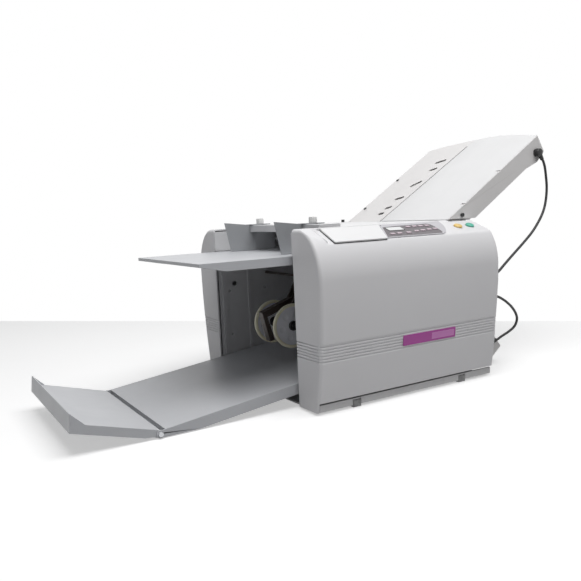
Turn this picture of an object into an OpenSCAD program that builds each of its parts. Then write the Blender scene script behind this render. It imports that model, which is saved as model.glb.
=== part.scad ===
// Desktop paper folding machine, friction fed, with two fold plates and a delivery tray.
// X runs along the paper path: the feed and delivery end is at -X, the fold plates at +X.
// Y runs across the machine: the operator side with the control panel is at -Y.
// Z is up, and the table is at Z = 0.

/* [Side covers] */
// Length of the side covers along the paper path
cover_len = 422; // [416:1:434]
// How much further the covers reach at the rear than at the front
cover_tail = 8; // [2:1:9]
// Height of the side covers above the table
cover_h = 326; // [322:1:332]
// How far each side cover stands out from its side frame
cover_depth = 85; // [82:1:90]
// Wall of the moulded side covers
cover_wall = 3; // [2.5:0.5:4]
// Width of the rounded shoulder across the machine
shoulder_w = 65; // [58:1:70]
// Height of the rounded shoulder
shoulder_h = 90; // [80:1:110]
// How far the face leans in from its widest line to its foot
face_lean = 25; // [15:1:26]
// Rounding of the upright corners of the covers
corner_r = 8; // [6:1:18]
// Height of the covers' lower edge above the table
skirt_z = 22; // [21:1:26]
// Number of grooves in the ribbed band
groove_n = 6; // [3:1:8]
// Height of the lowest groove above the table
groove_z = 96.5; // [90:0.5:110]
// Spacing of the grooves
groove_pitch = 5.4; // [4.5:0.1:6]
// Width of a groove
groove_w = 1.6; // [1:0.1:2.5]
// Depth of a groove
groove_d = 1; // [0.5:0.1:1.5]

/* [Frames and base] */
// Clear width between the two side frames
throat_w = 323; // [320:1:326]
// Thickness of a side frame plate
frame_t = 3; // [2.5:0.5:4]
// Length of a side frame plate
frame_len = 410; // [404:1:412]
// How far the side frames' top edge lies under the covers' top
frame_drop = 5; // [4.5:0.5:7]
// Underside of the base pan above the table
pan_z = 4; // [3:0.5:6]
// Thickness of the base pan
pan_t = 3; // [2:0.5:4]
// Half width of the base pan
pan_half_w = 222; // [212:1:223]
// Height of the base pan's upturned lip above the table
lip_z = 17.5; // [15:0.5:20]
// Length of a rubber foot
foot_len = 18; // [12:1:22]
// Depth of a rubber foot across the machine
foot_d = 12; // [10:1:14]
// Place of the front pair of feet
foot_front_x = -123; // [-150:1:-100]
// Place of the rear pair of feet
foot_rear_x = 141; // [110:1:160]
// Side of the square tie bars
bar_s = 14; // [10:1:14]
// Thickness of folded sheet metal
sheet_t = 2; // [1.5:0.5:2.5]

/* [Feed table and side guides] */
// How far the feed table's paper surface lies under the covers' top
table_drop = 48; // [46:1:50]
// Outer end of the feed table
table_x = -387; // [-400:1:-360]
// Half width of the feed table
table_half_w = 155; // [150:0.5:156]
// Depth of the table's folded side lips
table_lip = 16; // [12:1:18]
// Depth of the lip across the table's outer end
table_end_lip = 6; // [4:1:8]
// Distance of each side guide from the middle
guide_y = 105; // [80:1:120]
// How far the side guides' outer end stands over the covers' top
guide_rise = 14; // [12:1:20]
// Outer end of the side guides
guide_x = -212; // [-230:1:-205]
// How far the guide bar stands over the covers' top
guide_bar_rise = 6; // [5:1:8]
// Height of the guide bar
guide_bar_h = 14; // [12:1:14]
// Width of the guide bar
guide_bar_w = 48; // [40:1:48]
// Middle of the guide bar
guide_bar_x = -126; // [-130:1:-122]
// Radius of the guide lock knobs
knob_r = 8; // [6:0.5:10]
// Height of the guide lock knobs
knob_h = 12; // [10:1:14]

/* [Rollers and drive] */
// Radius of the four fold rollers
roller_r = 16; // [15:0.5:17]
// Gap between two fold rollers, for the paper
roller_gap = 0.4; // [0.3:0.1:0.6]
// Half length of the rollers' faces
roller_half_l = 150; // [140:1:155]
// Middle roller, along the paper path
roller_x = 115; // [113:1:117]
// Radius of the roller shafts
shaft_r = 5; // [4:0.5:5.5]
// Radial clearance of a running fit
running_fit = 0.05; // [0.02:0.01:0.1]
// Teeth of each roller gear
gear_teeth = 24; // [24:12:36]
// Width of the roller gears
gear_w = 12; // [8:1:14]
// Radius of the feed roller
feed_r = 17; // [15:0.5:17.5]
// Width of the feed roller
feed_w = 60; // [40:1:80]
// Place of the feed roller along the paper path
feed_x = -72; // [-78:1:-68]
// Radius of the drive motor
motor_r = 28; // [24:1:30]
// Length of the drive motor
motor_l = 72; // [60:1:90]
// Radius of the motor pulley
motor_pulley_r = 12; // [10:1:14]
// Radius of the pulley on the middle roller
roller_pulley_r = 24; // [20:1:26]

/* [Fold plates] */
// Rise of the upper fold plate
upper_tilt = 32.2; // [31:0.1:33]
// Thickness of the upper fold plate
upper_t = 41; // [38:1:42]
// Length of the upper fold plate beyond the covers' top
upper_len = 319; // [290:1:330]
// Half width of the upper fold plate above the covers
upper_half_w = 172; // [168:1:176]
// How far the upper fold plate's end bows out
upper_bow = 24; // [10:1:30]
// Fall of the lower fold plate
lower_tilt = 51.8; // [50:0.1:53]
// Thickness of the lower fold plate
lower_t = 34; // [30:1:36]
// Length of the lower fold plate from the fold nip
lower_len = 300; // [280:1:304]
// Wall of the fold plate casings
plate_wall = 2.5; // [2:0.5:3]

/* [Delivery tray and stacker] */
// Place of the tray's fold hinge
tray_hinge_x = -473; // [-485:1:-460]
// Height of the tray's fold hinge pin
tray_hinge_z = 7.5; // [7:0.5:9]
// Height of the tray's surface at the covers' end
tray_mouth_z = 45; // [42:1:48]
// Half width of the delivery tray
tray_half_w = 157; // [150:1:158]
// Depth of the tray's side flanges
tray_flange = 20; // [16:1:22]
// Length of the fold-up tray extension
ext_len = 146; // [120:1:160]
// Rise of the tray extension
ext_tilt = 16; // [10:0.5:20]
// Height of the extension's end wall
end_wall_h = 26; // [20:1:30]
// Radius of the stacker wheels
wheel_r = 45; // [40:1:48]
// Thickness of a stacker wheel
wheel_t = 5; // [4:0.5:7]
// Place of the stacker wheels along the paper path
wheel_x = -144; // [-150:1:-138]
// Height of the stacker wheels' axle
wheel_z = 130; // [126:1:134]

/* [Controls and cables] */
// Slope of the control panel
panel_tilt = 21.8; // [20:0.2:23]
// Left end of the control panel's lid
lid_x = -163; // [-170:1:-150]
// Thickness of the lid
lid_t = 3; // [2:0.5:4]
// Radius of the start and stop buttons
button_r = 9; // [7:0.5:10]
// Travel of the start and stop buttons
button_travel = 1.5; // [1:0.1:2]
// Travel of the panel keys
key_travel = 0.6; // [0.4:0.1:1]
// Diameter of both cables
cable_d = 5.5; // [5:0.5:8]

/* [Hidden] */

$fn = 48;
// Room left between a moving piece and what it moves in
play = 0.3;
// The covers' middle lies this far from the origin, which is under the middle of the whole machine
plate_x = 169;
plate_end_x = plate_x + (upper_len + upper_bow) * cos(upper_tilt) + (upper_t - 1) * sin(upper_tilt);
ext_lip_h = 9;
ext_end_x = tray_hinge_x - ext_len * cos(ext_tilt) - ext_lip_h * sin(ext_tilt);
mid_x = -(plate_end_x + ext_end_x) / 2;

frame_h = cover_h - frame_drop;
table_z = cover_h - table_drop;
guide_top_z = cover_h + guide_rise;
guide_bar_z = cover_h + guide_bar_rise;
frame_in = throat_w / 2;
frame_out = frame_in + frame_t;
cover_out = frame_out + cover_depth;
pan_top = pan_z + pan_t;
name_at = [38, 111];
name_size = [132, 20];

rear_x = frame_len / 2 - 5;
vent_n = 8;
inlet_at = [92, 40];
inlet_size = [28, 20];
switch_at = [60, 40];
switch_size = [14, 20];

// Fold rollers: three stand round the middle one, square to the upper fold plate
plate_top_z = cover_h + 5;
along = [cos(upper_tilt), sin(upper_tilt)];
across = [-sin(upper_tilt), cos(upper_tilt)];
roller_pitch = 2 * roller_r + roller_gap;
upper_mid = [plate_x, plate_top_z] - upper_t / 2 * across;
roller_z = upper_mid[1] + (roller_x - roller_pitch / 2 * sin(upper_tilt) - upper_mid[0]) * tan(upper_tilt)
  - roller_pitch / 2 * cos(upper_tilt);
ROLLER_2 = [roller_x, roller_z];
ROLLER_1 = ROLLER_2 + roller_pitch * across;
ROLLER_3 = ROLLER_2 + roller_pitch * along;
ROLLER_4 = ROLLER_2 - roller_pitch * across;
rollers = [ROLLER_1, ROLLER_2, ROLLER_3, ROLLER_4];
fold_nip = ROLLER_2 + roller_pitch / 2 * along;
exit_nip = ROLLER_2 - roller_pitch / 2 * across;
chute_l = 150;
knob_neck_r = 3;
saddle_w = 24;
bearing_r = shaft_r + 4;
bearing_flange_r = bearing_r + 2;
bearing_flange_t = 2;
feed_z = table_z + 1.2 + feed_r;
gear_y = frame_out + bearing_flange_t + 4;
gear_module = roller_pitch / gear_teeth;
belt_y = gear_y + gear_w + 5;
belt_w = 8;
belt_t = 1.6;
motor_x = 108;
motor_z = 108;
motor_shaft_r = 4;
roller_shaft_l = gear_y + gear_w + 2;

// Upper fold plate, in its own frame: s along its slope from where it leaves the covers, n square to it
neck_half_w = frame_in - 1;
neck_s = (ROLLER_1 - [plate_x, plate_top_z]) * along + roller_r + 36;
gland_s = upper_len - 27;
gland_n = -upper_t * 0.7;
upper_slots = [[[20, 86], [24, 67]], [[42, 84], [52, 65]], [[82, 86], [92, 60]], [[137, 82], [162, 60]],
  [[209, 79], [219, 57]], [[245, 90], [256, 58]]];
slot_w = 4;
// Rise of the near cover's crown
crown = 3.2;
// The near cover of the plate ends along this line, from the covers to the plate's far end
split_y0 = 44;
split_y1 = 33;
// Radius of the latch caps
latch_r = 4;
// Notches in the plate's near edge, and how deep they are
notch_s = [44, 169];
notch_l = 6;
notch_d = 10;

// Lower fold plate, in its own frame: s down its slope from the fold nip
lower_half_w = frame_in - 3;
lower_s0 = roller_pitch + roller_r + 4;
lower_gland_s = 262;

// Top cover over the rollers, and the bar that bridges the frames behind it
top_cover_x0 = guide_bar_x + guide_bar_w / 2 + 2;
top_hinge = [122, cover_h - 10];
top_cover_tail = 12;
hinge_pin_r = 2;
knuckle_l = 34;
bridge_x = top_hinge[0] + 15;
bridge_w = 14;

// Delivery tray
tray_slope = atan((tray_mouth_z - tray_hinge_z - 6) / (-cover_len / 2 - tray_hinge_x));
tray_inner_x = -60;
ext_half_w = tray_half_w - sheet_t - play;
tray_bar_x = -88;
tray_in_l = (tray_inner_x - tray_hinge_x) / cos(tray_slope);
tray_flange_l = (tray_bar_x - 6 - tray_hinge_x) / cos(tray_slope);
tray_top_n = 6;
pin_r = 3;
pin_l = 3;
lobe_r = 7;
gutter_t = 1.5;
ext_edge = 1.5;

// Stacker: two wheels on one axle, hung on an arm
arm_pivot = [-86, 222];
arm_t = 3;
arm_y = [-20, 8];
deflector_y = [-6, 10];
deflector_elbow = arm_pivot + [-8, -31];
deflector_knee = [wheel_x - 48, wheel_z + 27];
deflector_foot = [wheel_x - 33, wheel_z - 33];
wheel_y = [-45, 32];
wheel_shaft_r = 4;
hub_r = 10;

// Control panel, in its own frame: x along the machine, v down the slope, z square to it
panel_y = frame_out + 5.5;
panel_z = cover_h - 2;
lid_v = 4.4;
lid_w = 60;
lid_end_x = -24;
lid_slant = 26;
lid_axis_v = lid_v + 0.8;
lid_axis_n = 2.4;
lid_stub_r = 1;
eye_r = 2.6;
eye_w = 4;
panel_ramp = 13.3;
bezel_t = 2;
key_h = 2.6;
key_foot = bezel_t - key_h + 0.8;
key_size = [11, 6];
// Middle of each key: three under the display, then two rows of four
key_at = concat([[-23, 48], [-6, 47.5], [17, 47]], [for (i = [0:3]) [36 + 16 * i, 21]],
  [for (i = [0:3]) [40 + 17 * i, 43 - 1.5 * i]]);
// The lid's right end slants: its x at v
function lid_edge(v) = lid_end_x - lid_slant * (v - lid_v) / lid_w;
window_v = [8, 60];
window_x1 = 100;
display_at = [-19, 33];
display_size = [36, 14];
bezel_v = [3, 63];
bezel_gap = 1.5;
bezel_r = 86;
bezel_centre = [45, 7];
stop_x = 158;
start_x = 191;
button_v = 33;

// Cables: round points along each free stretch, in the machine's own frame
cable_sides = 10;
upper_exit_angle = 50;
lower_exit_angle = 10;
gland_exit = [cos(upper_exit_angle), 0, -sin(upper_exit_angle)];
lower_exit = [cos(lower_exit_angle), 0, sin(lower_exit_angle)];
gland_y = upper_half_w + 7;
GLAND = let (p = [plate_x, plate_top_z] + gland_s * along + gland_n * across) [p[0], -gland_y, p[1]];
lower_along = [cos(lower_tilt), -sin(lower_tilt)];
lower_across = [sin(lower_tilt), cos(lower_tilt)];
lower_gland_y = lower_half_w + 8;
LOWER_GLAND = let (p = fold_nip + lower_gland_s * lower_along - 8 * lower_across)
  [p[0], -lower_gland_y, p[1]];
tail_l = 20;
gland_r = 9;
socket_y = cover_out - 45;
upper_socket_z = 204;
lower_socket_z = 163;
socket_l = 24;
cover_end_x = cover_len / 2 + cover_tail;
socket_end_x = cover_end_x + socket_l;
upper_start = GLAND + tail_l * gland_exit;
lower_end = LOWER_GLAND + tail_l * lower_exit;
upper_route = [upper_start, upper_start + 5 * gland_exit, [451, -180.5, 430], [454.5, -181, 408],
  [455.5, -182, 385], [452, -183, 361], [443.5, -185, 340], [431, -187, 322], [414, -189, 304.5],
  [394, -192, 288.5], [370, -195, 273], [344, -198, 257.5], [316, -201, 241], [290, -203, 224.5],
  [268, -204.5, 210.5], [socket_end_x + 6, -socket_y, upper_socket_z],
  [socket_end_x, -socket_y, upper_socket_z]];
lower_route = [[socket_end_x, -socket_y, lower_socket_z], [socket_end_x + 6, -socket_y, lower_socket_z],
  [268, -204, 158.5], [288, -201, 150], [309, -197, 138.5], [328, -192, 126], [344, -187, 112], [354, -182, 97],
  [352, -177, 81], [338, -171.5, 69], [320, -168, 61], lower_end + 6 * lower_exit, lower_end];

module placed() {
  translate([mid_x, 0, 0]) children();
}

module both_sides() {
  children();
  mirror([0, 1, 0]) children();
}

// A shaft or bore across the machine, from y0 to y1, at [x, z]
module across_rod(at, r, y0, y1) {
  translate([at[0], y0, at[1]]) rotate([-90, 0, 0]) cylinder(r = r, h = y1 - y0);
}

// A plate drawn in the XZ plane, from y0 to y1
module side_plate(y0, y1) {
  translate([0, y1, 0]) rotate([90, 0, 0]) linear_extrude(y1 - y0) children();
}

// ---- Side covers ----

// End profile of a cover, [distance from the middle, height], drawn in by inset
function cover_profile(inset, foot) = concat(
  [[frame_out, cover_h - inset]],
  [for (i = [0:16]) let (a = 90 - 90 * i / 16)
    [cover_out - shoulder_w + (shoulder_w - inset) * cos(a),
      cover_h - shoulder_h + (shoulder_h - inset) * sin(a)]],
  [for (i = [1:6]) let (t = i / 6)
    [cover_out - inset - face_lean * t * t, (cover_h - shoulder_h) * (1 - t) + foot * t]],
  [[frame_out, foot]]);

module cover_body(inset, foot) {
  half = cover_len / 2 - inset;
  r = corner_r - inset;
  length = 2 * half + cover_tail;
  intersection() {
    translate([-half, 0, 0]) rotate([90, 0, 90]) linear_extrude(length) polygon(cover_profile(inset, foot));
    linear_extrude(cover_h + 1) union() {
      translate([-half, 0]) square([length, cover_out - inset - r]);
      translate([-half + r, 0]) square([length - 2 * r, cover_out - inset]);
      for (x = [-half + r, half + cover_tail - r]) translate([x, cover_out - inset - r]) circle(r);
    }
  }
}

// What is cut from both covers: the room over the base pan's lip, and the ribbed band
module cover_cuts() {
  // The left end wall keeps its full height
  translate([-cover_len / 2 + cover_wall, 0, -1]) cube([cover_len + cover_tail, cover_out + 1, skirt_z + 1]);
  difference() {
    for (i = [0:groove_n - 1]) translate([-cover_len, 0, groove_z + i * groove_pitch])
      cube([2 * cover_len, cover_out + 1, groove_w]);
    translate([-cover_len, 0, 0]) cube([2 * cover_len, frame_out + groove_d, cover_h]);
    cover_body(groove_d, pan_z);
  }
}

module far_side_cover() {
  color("#c9c6c4") placed() difference() {
    cover_body(0, pan_z);
    cover_body(cover_wall, -1);
    cover_cuts();
  }
}

// Brings children drawn on the control panel to the near cover's slope
module on_panel(x = 0, v = 0) {
  translate([0, -panel_y, panel_z]) rotate([panel_tilt, 0, 0]) translate([x, -v, 0]) children();
}

// Everything above the control panel's slope, with a ramp down to it at its left end
module panel_cut(sink) {
  deep = 2 * cover_depth;
  top = 80;
  end_x = lid_x - 6;
  on_panel() rotate([90, 0, 0]) translate([0, 0, -deep / 2]) linear_extrude(2 * deep)
    polygon([[end_x, -sink], [cover_len, -sink], [cover_len, top], [end_x - top / tan(panel_ramp), top]]);
}

// Eyes that carry the lid's hinge stubs, one beyond each end of the lid
module lid_eyes() {
  for (x = [lid_x - eye_w - play, lid_end_x + play]) on_panel(x, lid_axis_v) difference() {
    union() {
      rotate([0, 90, 0]) translate([-lid_axis_n, 0, 0]) cylinder(r = eye_r, h = eye_w);
      translate([0, -eye_r, -1]) cube([eye_w, 2 * eye_r, lid_axis_n + 1]);
    }
    rotate([0, 90, 0]) translate([-lid_axis_n, 0, -1]) cylinder(r = lid_stub_r + running_fit, h = 6);
  }
}

module near_side_cover() {
  color("#c9c6c4") placed() union() {
    difference() {
      mirror([0, 1, 0]) cover_body(0, pan_z);
      panel_cut(0);
      difference() {
        mirror([0, 1, 0]) cover_body(cover_wall, -1);
        panel_cut(cover_wall);
      }
      mirror([0, 1, 0]) cover_cuts();
      // Window for the keys, and bores for the two round buttons
      on_panel() translate([0, 0, -12]) linear_extrude(20) polygon([[lid_edge(window_v[0]) + 4, -window_v[0]],
        [window_x1, -window_v[0]], [window_x1, -window_v[1]], [lid_edge(window_v[1]) + 4, -window_v[1]]]);
      for (x = [stop_x, start_x]) on_panel(x, button_v) translate([0, 0, -12])
        cylinder(r = button_r + play, h = 20);
      // Flat seat of the name plate
      name_plate_body(play, 10);
    }
    lid_eyes();
  }
}

// The name plate lies flat on the leaning face, at the ribbed band
module name_plate_body(grow, thick) {
  z = name_at[1];
  t = (cover_h - shoulder_h - z) / (cover_h - shoulder_h - pan_z);
  lean = atan(2 * face_lean * t / (cover_h - shoulder_h - pan_z));
  y = cover_out - face_lean * t * t - 0.6;
  translate([name_at[0], -y, z]) rotate([lean, 0, 0])
    translate([-name_size[0] / 2 - grow, -thick, -name_size[1] / 2 - grow])
      cube([name_size[0] + 2 * grow, thick, name_size[1] + 2 * grow]);
}

module name_plate() {
  color("#a03a8c") placed() name_plate_body(0, 1.6);
}

// ---- Base and frames ----

module base_pan() {
  color("#a9a7a6") placed() difference() {
    union() {
      translate([-frame_len / 2, -pan_half_w, pan_z]) cube([frame_len, 2 * pan_half_w, pan_t]);
      both_sides() translate([-frame_len / 2, pan_half_w - 4, pan_z]) cube([frame_len, 4, lip_z - pan_z]);
    }
    both_sides() for (x = [foot_front_x, foot_rear_x])
      translate([x - foot_len / 2, pan_half_w - foot_d, -1]) cube([foot_len, foot_d + 1, lip_z - 3]);
  }
}

module rubber_feet() {
  color("#3c3c3e") placed() both_sides() for (x = [foot_front_x, foot_rear_x])
    translate([x - foot_len / 2, pan_half_w - foot_d, 0]) cube([foot_len, foot_d, lip_z - 4]);
}

// A side frame plate with its pressed ribs and bearing seats, on the far side
module side_frame() {
  end_x = -frame_len / 2;
  ribs = [[end_x + 6, 9], [end_x + 69, 7]];
  difference() {
    union() {
      translate([-frame_len / 2, frame_in, pan_top]) cube([frame_len, frame_t, frame_h - pan_top]);
      for (rib = ribs) translate([rib[0], frame_in - 2.5, pan_top]) cube([rib[1], 3, table_z - 30 - pan_top]);
    }
    for (at = concat(rollers, [[feed_x, feed_z]])) across_rod(at, bearing_r, frame_in - 4, frame_out + 1);
    // One large and three small holes in the pressed front part
    across_rod([end_x + 37, 204], 6, frame_in - 1, frame_out + 1);
    for (at = [[24, 188], [24, 90], [113, 188]])
      across_rod([end_x + at[0], at[1]], 2.5, frame_in - 1, frame_out + 1);
    across_rod([motor_x, motor_z], 12, frame_in - 1, frame_out + 1);
    across_rod(arm_pivot, pin_r + running_fit, frame_in - 1, frame_out + 1);
  }
  // Pin of the top cover's hinge
  across_rod(top_hinge, hinge_pin_r, frame_in - knuckle_l + 4, frame_in);
}

module far_side_frame() {
  color("#6b6a6c") placed() side_frame();
}

module near_side_frame() {
  color("#6b6a6c") placed() mirror([0, 1, 0]) side_frame();
}

// Tie bars between the frames: two carry the feed table, one the inner end of the tray, two stiffen
// the machine, and a flat one bridges the frames behind the top cover
module tie_bars() {
  table_bar_z = table_z - sheet_t - bar_s;
  tray_bar_z = tray_hinge_z + (tray_bar_x - tray_hinge_x) * tan(tray_slope) + 4 / cos(tray_slope) - bar_s;
  front_bar_x = 41 - frame_len / 2;
  color("#8d8f92") placed() {
    for (at = [[front_bar_x, table_bar_z], [feed_x + 32, table_bar_z], [tray_bar_x, tray_bar_z],
      [roller_x - 59, 56], [roller_x + 35, 24]])
      translate([at[0], -frame_in, at[1]]) cube([bar_s, throat_w, bar_s]);
    translate([bridge_x, -frame_out, frame_h]) cube([bridge_w, 2 * frame_out, 3]);
  }
}

module rear_panel() {
  x = rear_x;
  foot_z = fold_nip[1] - (x - fold_nip[0]) * tan(lower_tilt);
  reach = lower_t / 2 / cos(lower_tilt) + 6;
  top = plate_top_z + (x - plate_x) * tan(upper_tilt) - upper_t / cos(upper_tilt) - 3;
  color("#b8b6b5") placed() difference() {
    translate([x, -frame_in, pan_top]) cube([sheet_t, throat_w, top - pan_top]);
    translate([x - 1, -lower_half_w - 1, foot_z - reach])
      cube([sheet_t + 2, 2 * lower_half_w + 2, 2 * reach]);
    // Seats of the mains inlet and the power switch
    translate([x - 1, inlet_at[0], inlet_at[1]]) cube([sheet_t + 2, inlet_size[0], inlet_size[1]]);
    translate([x - 1, switch_at[0], switch_at[1]]) cube([sheet_t + 2, switch_size[0], switch_size[1]]);
    // Ventilation slots
    for (i = [0:vent_n - 1]) translate([x - 1, -60 + 16 * i, 66]) cube([sheet_t + 2, 5, 26]);
  }
}

// Rocker of the power switch, on a pivot in the middle of its seat
module power_switch() {
  w = switch_size[0] - 1;
  r = switch_size[1] / 2 - 1;
  rock = 8;
  // At rest it is rocked to off
  color("#202022") placed() translate([rear_x, switch_at[0] + 0.5, switch_at[1] + switch_size[1] / 2])
    rotate([0, -rock, 0]) side_plate(0, w) union() {
      polygon([[-4, -r + 1.5], [2 + r * tan(rock), -r], [2, 0], [2 + r * tan(rock), r], [-4, r - 1.5]]);
      circle(r = 5);
    }
}

// ---- Feed table and guides ----

module feed_table() {
  x1 = ROLLER_1[0] - roller_r - 8;
  // The side lips are cut away towards the outer end, and end where the table rests on its tie bars
  lip_x0 = table_x + 50;
  lip_x1 = 35 - frame_len / 2;
  color("#b4b7bc") placed() difference() {
    union() {
      translate([table_x, -table_half_w, table_z - sheet_t]) cube([x1 - table_x, 2 * table_half_w, sheet_t]);
      translate([table_x, -table_half_w, table_z - table_end_lip])
        cube([sheet_t, 2 * table_half_w, table_end_lip]);
      both_sides() side_plate(table_half_w - sheet_t, table_half_w) polygon([[table_x, table_z - 1],
        [table_x, table_z - table_end_lip], [lip_x0, table_z - table_lip], [lip_x1, table_z - table_lip],
        [lip_x1, table_z - 1]]);
    }
    translate([feed_x - 14, -17, table_z - 5]) cube([28, 34, 10]);
  }
}

// Rubber pad under the feed roller, on its metal seat under the table
module separator_pad() {
  color("#5a4a40") placed() union() {
    translate([feed_x - 14, -17, table_z - sheet_t]) cube([28, 34, sheet_t + 0.6]);
    translate([feed_x - 18, -22, table_z - sheet_t - 3]) cube([36, 44, 3]);
  }
}

module guide_bar() {
  w = guide_bar_w;
  z0 = guide_bar_z - guide_bar_h;
  color("#dcdcdc") placed() difference() {
    translate([guide_bar_x - w / 2, -frame_in, z0]) cube([w, throat_w, guide_bar_h]);
    translate([guide_bar_x - w / 2 + sheet_t, -frame_in + 3, z0 - 1])
      cube([w - 2 * sheet_t, throat_w - 6, guide_bar_h - sheet_t + 1]);
    // Slots for the knobs' screws
    both_sides() translate([guide_bar_x - 3, 50, z0]) cube([6, 102, guide_bar_h + 1]);
  }
}

// Side guide on the far side: an upright cheek that hangs from a saddle on the guide bar
module side_guide() {
  z0 = table_z + 1;
  bar_x0 = guide_bar_x - guide_bar_w / 2;
  bar_x1 = guide_bar_x + guide_bar_w / 2;
  low = guide_bar_z - guide_bar_h - 1;
  saddle_z = guide_bar_z + play;
  difference() {
    union() {
      side_plate(guide_y - 1, guide_y + 1) polygon([[guide_x, guide_top_z], [guide_x + 13, z0],
        [bar_x1 + 12, z0], [bar_x1 + 12, low], [bar_x0 - 1, low], [bar_x0 - 1, saddle_z + sheet_t],
        [guide_x + 50, saddle_z + sheet_t]]);
      translate([bar_x0 - 3, guide_y - saddle_w / 2, saddle_z]) cube([guide_bar_w - 2, saddle_w, sheet_t]);
    }
    translate([guide_bar_x, guide_y, saddle_z - 1]) cylinder(r = knob_neck_r + running_fit, h = sheet_t + 2);
    // Room for the knob's screw in the cheek
    translate([guide_bar_x - 6, guide_y - 5, saddle_z - 14]) cube([12, 10, 14]);
  }
}

module side_guide_far() {
  color("#9a9c9f") placed() side_guide();
}

module side_guide_near() {
  color("#9a9c9f") placed() mirror([0, 1, 0]) side_guide();
}

// Lock knob of a side guide, with its screw down through the saddle and the bar's slot
module guide_knob() {
  z0 = guide_bar_z + play + sheet_t;
  translate([guide_bar_x, guide_y, 0]) {
    translate([0, 0, z0]) cylinder(r = knob_r, h = knob_h);
    translate([0, 0, z0 - 10]) cylinder(r = 2.4, h = 11);
    translate([0, 0, z0 - 1.2]) cylinder(r = knob_neck_r, h = 2);
  }
}

module guide_knob_far() {
  color("#ececec") placed() guide_knob();
}

module guide_knob_near() {
  color("#ececec") placed() mirror([0, 1, 0]) guide_knob();
}

// ---- Top cover ----

module top_cover() {
  w = frame_in - 1.5;
  z1 = cover_h;
  t = 2.5;
  color("#e2e2e2") placed() difference() {
    union() {
      translate([top_cover_x0, -w, z1 - t]) cube([top_hinge[0] + top_cover_tail - top_cover_x0, 2 * w, t]);
      translate([top_cover_x0, -w, z1 - 8]) cube([t, 2 * w, 7]);
      both_sides() across_rod(top_hinge, hinge_pin_r + 2, w - knuckle_l, w);
      both_sides() translate([top_hinge[0] - 3, w - knuckle_l, top_hinge[1]])
        cube([6, knuckle_l, z1 - 1 - top_hinge[1]]);
    }
    both_sides() across_rod(top_hinge, hinge_pin_r + running_fit, w - knuckle_l - 2, w + 1);
  }
}

// ---- Fold rollers ----

module gear_outline() {
  pitch_r = roller_pitch / 2;
  tooth = 360 / gear_teeth;
  // Each tooth is drawn a little thin, for backlash
  for (i = [0:gear_teeth - 1]) rotate(i * tooth)
    polygon([[pitch_r - 1.6 * gear_module, -0.78 * gear_module], [pitch_r, -0.66 * gear_module],
      [pitch_r + 0.85 * gear_module, -0.32 * gear_module], [pitch_r + 0.85 * gear_module, 0.32 * gear_module],
      [pitch_r, 0.66 * gear_module], [pitch_r - 1.6 * gear_module, 0.78 * gear_module]]);
  circle(pitch_r - 1.15 * gear_module);
}

// A fold roller with its shaft and its gear on the near side; phase sets the teeth in mesh
module fold_roller(at, phase, near_l) {
  across_rod(at, roller_r, -roller_half_l, roller_half_l);
  across_rod(at, shaft_r, -near_l, frame_out + 6);
  translate([at[0], -gear_y, at[1]]) rotate([90, 0, 0]) linear_extrude(gear_w)
    rotate(upper_tilt + phase) gear_outline();
}

module fold_roller_1() {
  color("#4a4a4e") placed() fold_roller(ROLLER_1, 180 / gear_teeth, roller_shaft_l);
}

// The middle roller also carries the driven pulley
module fold_roller_2() {
  color("#4a4a4e") placed() {
    fold_roller(ROLLER_2, 0, belt_y + belt_w + 2);
    across_rod(ROLLER_2, roller_pulley_r, -belt_y - belt_w, -belt_y);
  }
}

module fold_roller_3() {
  color("#4a4a4e") placed() fold_roller(ROLLER_3, 180 / gear_teeth, roller_shaft_l);
}

module fold_roller_4() {
  color("#4a4a4e") placed() fold_roller(ROLLER_4, 180 / gear_teeth, roller_shaft_l);
}

// A flanged ball bearing in the far side frame
module bearing(at) {
  difference() {
    union() {
      across_rod(at, bearing_r, frame_in, frame_out);
      across_rod(at, bearing_flange_r, frame_out, frame_out + bearing_flange_t);
    }
    across_rod(at, shaft_r + running_fit, frame_in - 1, frame_out + 10);
  }
}

module roller_bearings() {
  color("#b9b9bd") placed() both_sides() for (at = concat(rollers, [[feed_x, feed_z]])) bearing(at);
}

module feed_roller() {
  color("#3a3a3c") placed() {
    across_rod([feed_x, feed_z], feed_r, -feed_w / 2, feed_w / 2);
    across_rod([feed_x, feed_z], shaft_r, -frame_out - 6, frame_out + 6);
  }
}

// ---- Drive ----

module drive_motor() {
  at = [motor_x, motor_z];
  color("#55565a") placed() difference() {
    union() {
      across_rod(at, motor_r, -frame_in, -frame_in + motor_l);
      translate([motor_x - motor_r, -frame_in, motor_z - motor_r]) cube([2 * motor_r, 4, 2 * motor_r]);
      across_rod(at, 16, -frame_in + motor_l, -frame_in + motor_l + 8);
    }
    across_rod(at, motor_shaft_r + running_fit, -frame_in - 1, -frame_in + 40);
  }
}

module motor_pulley() {
  at = [motor_x, motor_z];
  color("#c8c8cc") placed() {
    across_rod(at, motor_shaft_r, -belt_y - belt_w - 2, -frame_in + 38);
    across_rod(at, motor_pulley_r, -belt_y - belt_w, -belt_y);
  }
}

module belt_loop(grow) {
  hull() {
    translate([motor_x, motor_z]) circle(motor_pulley_r + grow);
    translate(ROLLER_2) circle(roller_pulley_r + grow);
  }
}

module drive_belt() {
  color("#242426") placed() side_plate(-belt_y - belt_w + 0.5, -belt_y - 0.5) difference() {
    belt_loop(play + belt_t);
    belt_loop(play);
  }
}

// Sheet chute that leads the folded paper from the rollers down to the tray
module exit_chute() {
  start = exit_nip - (roller_r + 11) * along - 7 * across;
  color("#7d7f83") placed() translate([start[0], 0, start[1]]) rotate([0, -upper_tilt, 0])
    translate([-chute_l, -frame_in, -sheet_t]) union() {
      cube([chute_l, throat_w, sheet_t]);
      translate([0, 0, -10]) cube([sheet_t, throat_w, 10]);
    }
}

// ---- Upper fold plate ----

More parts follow.
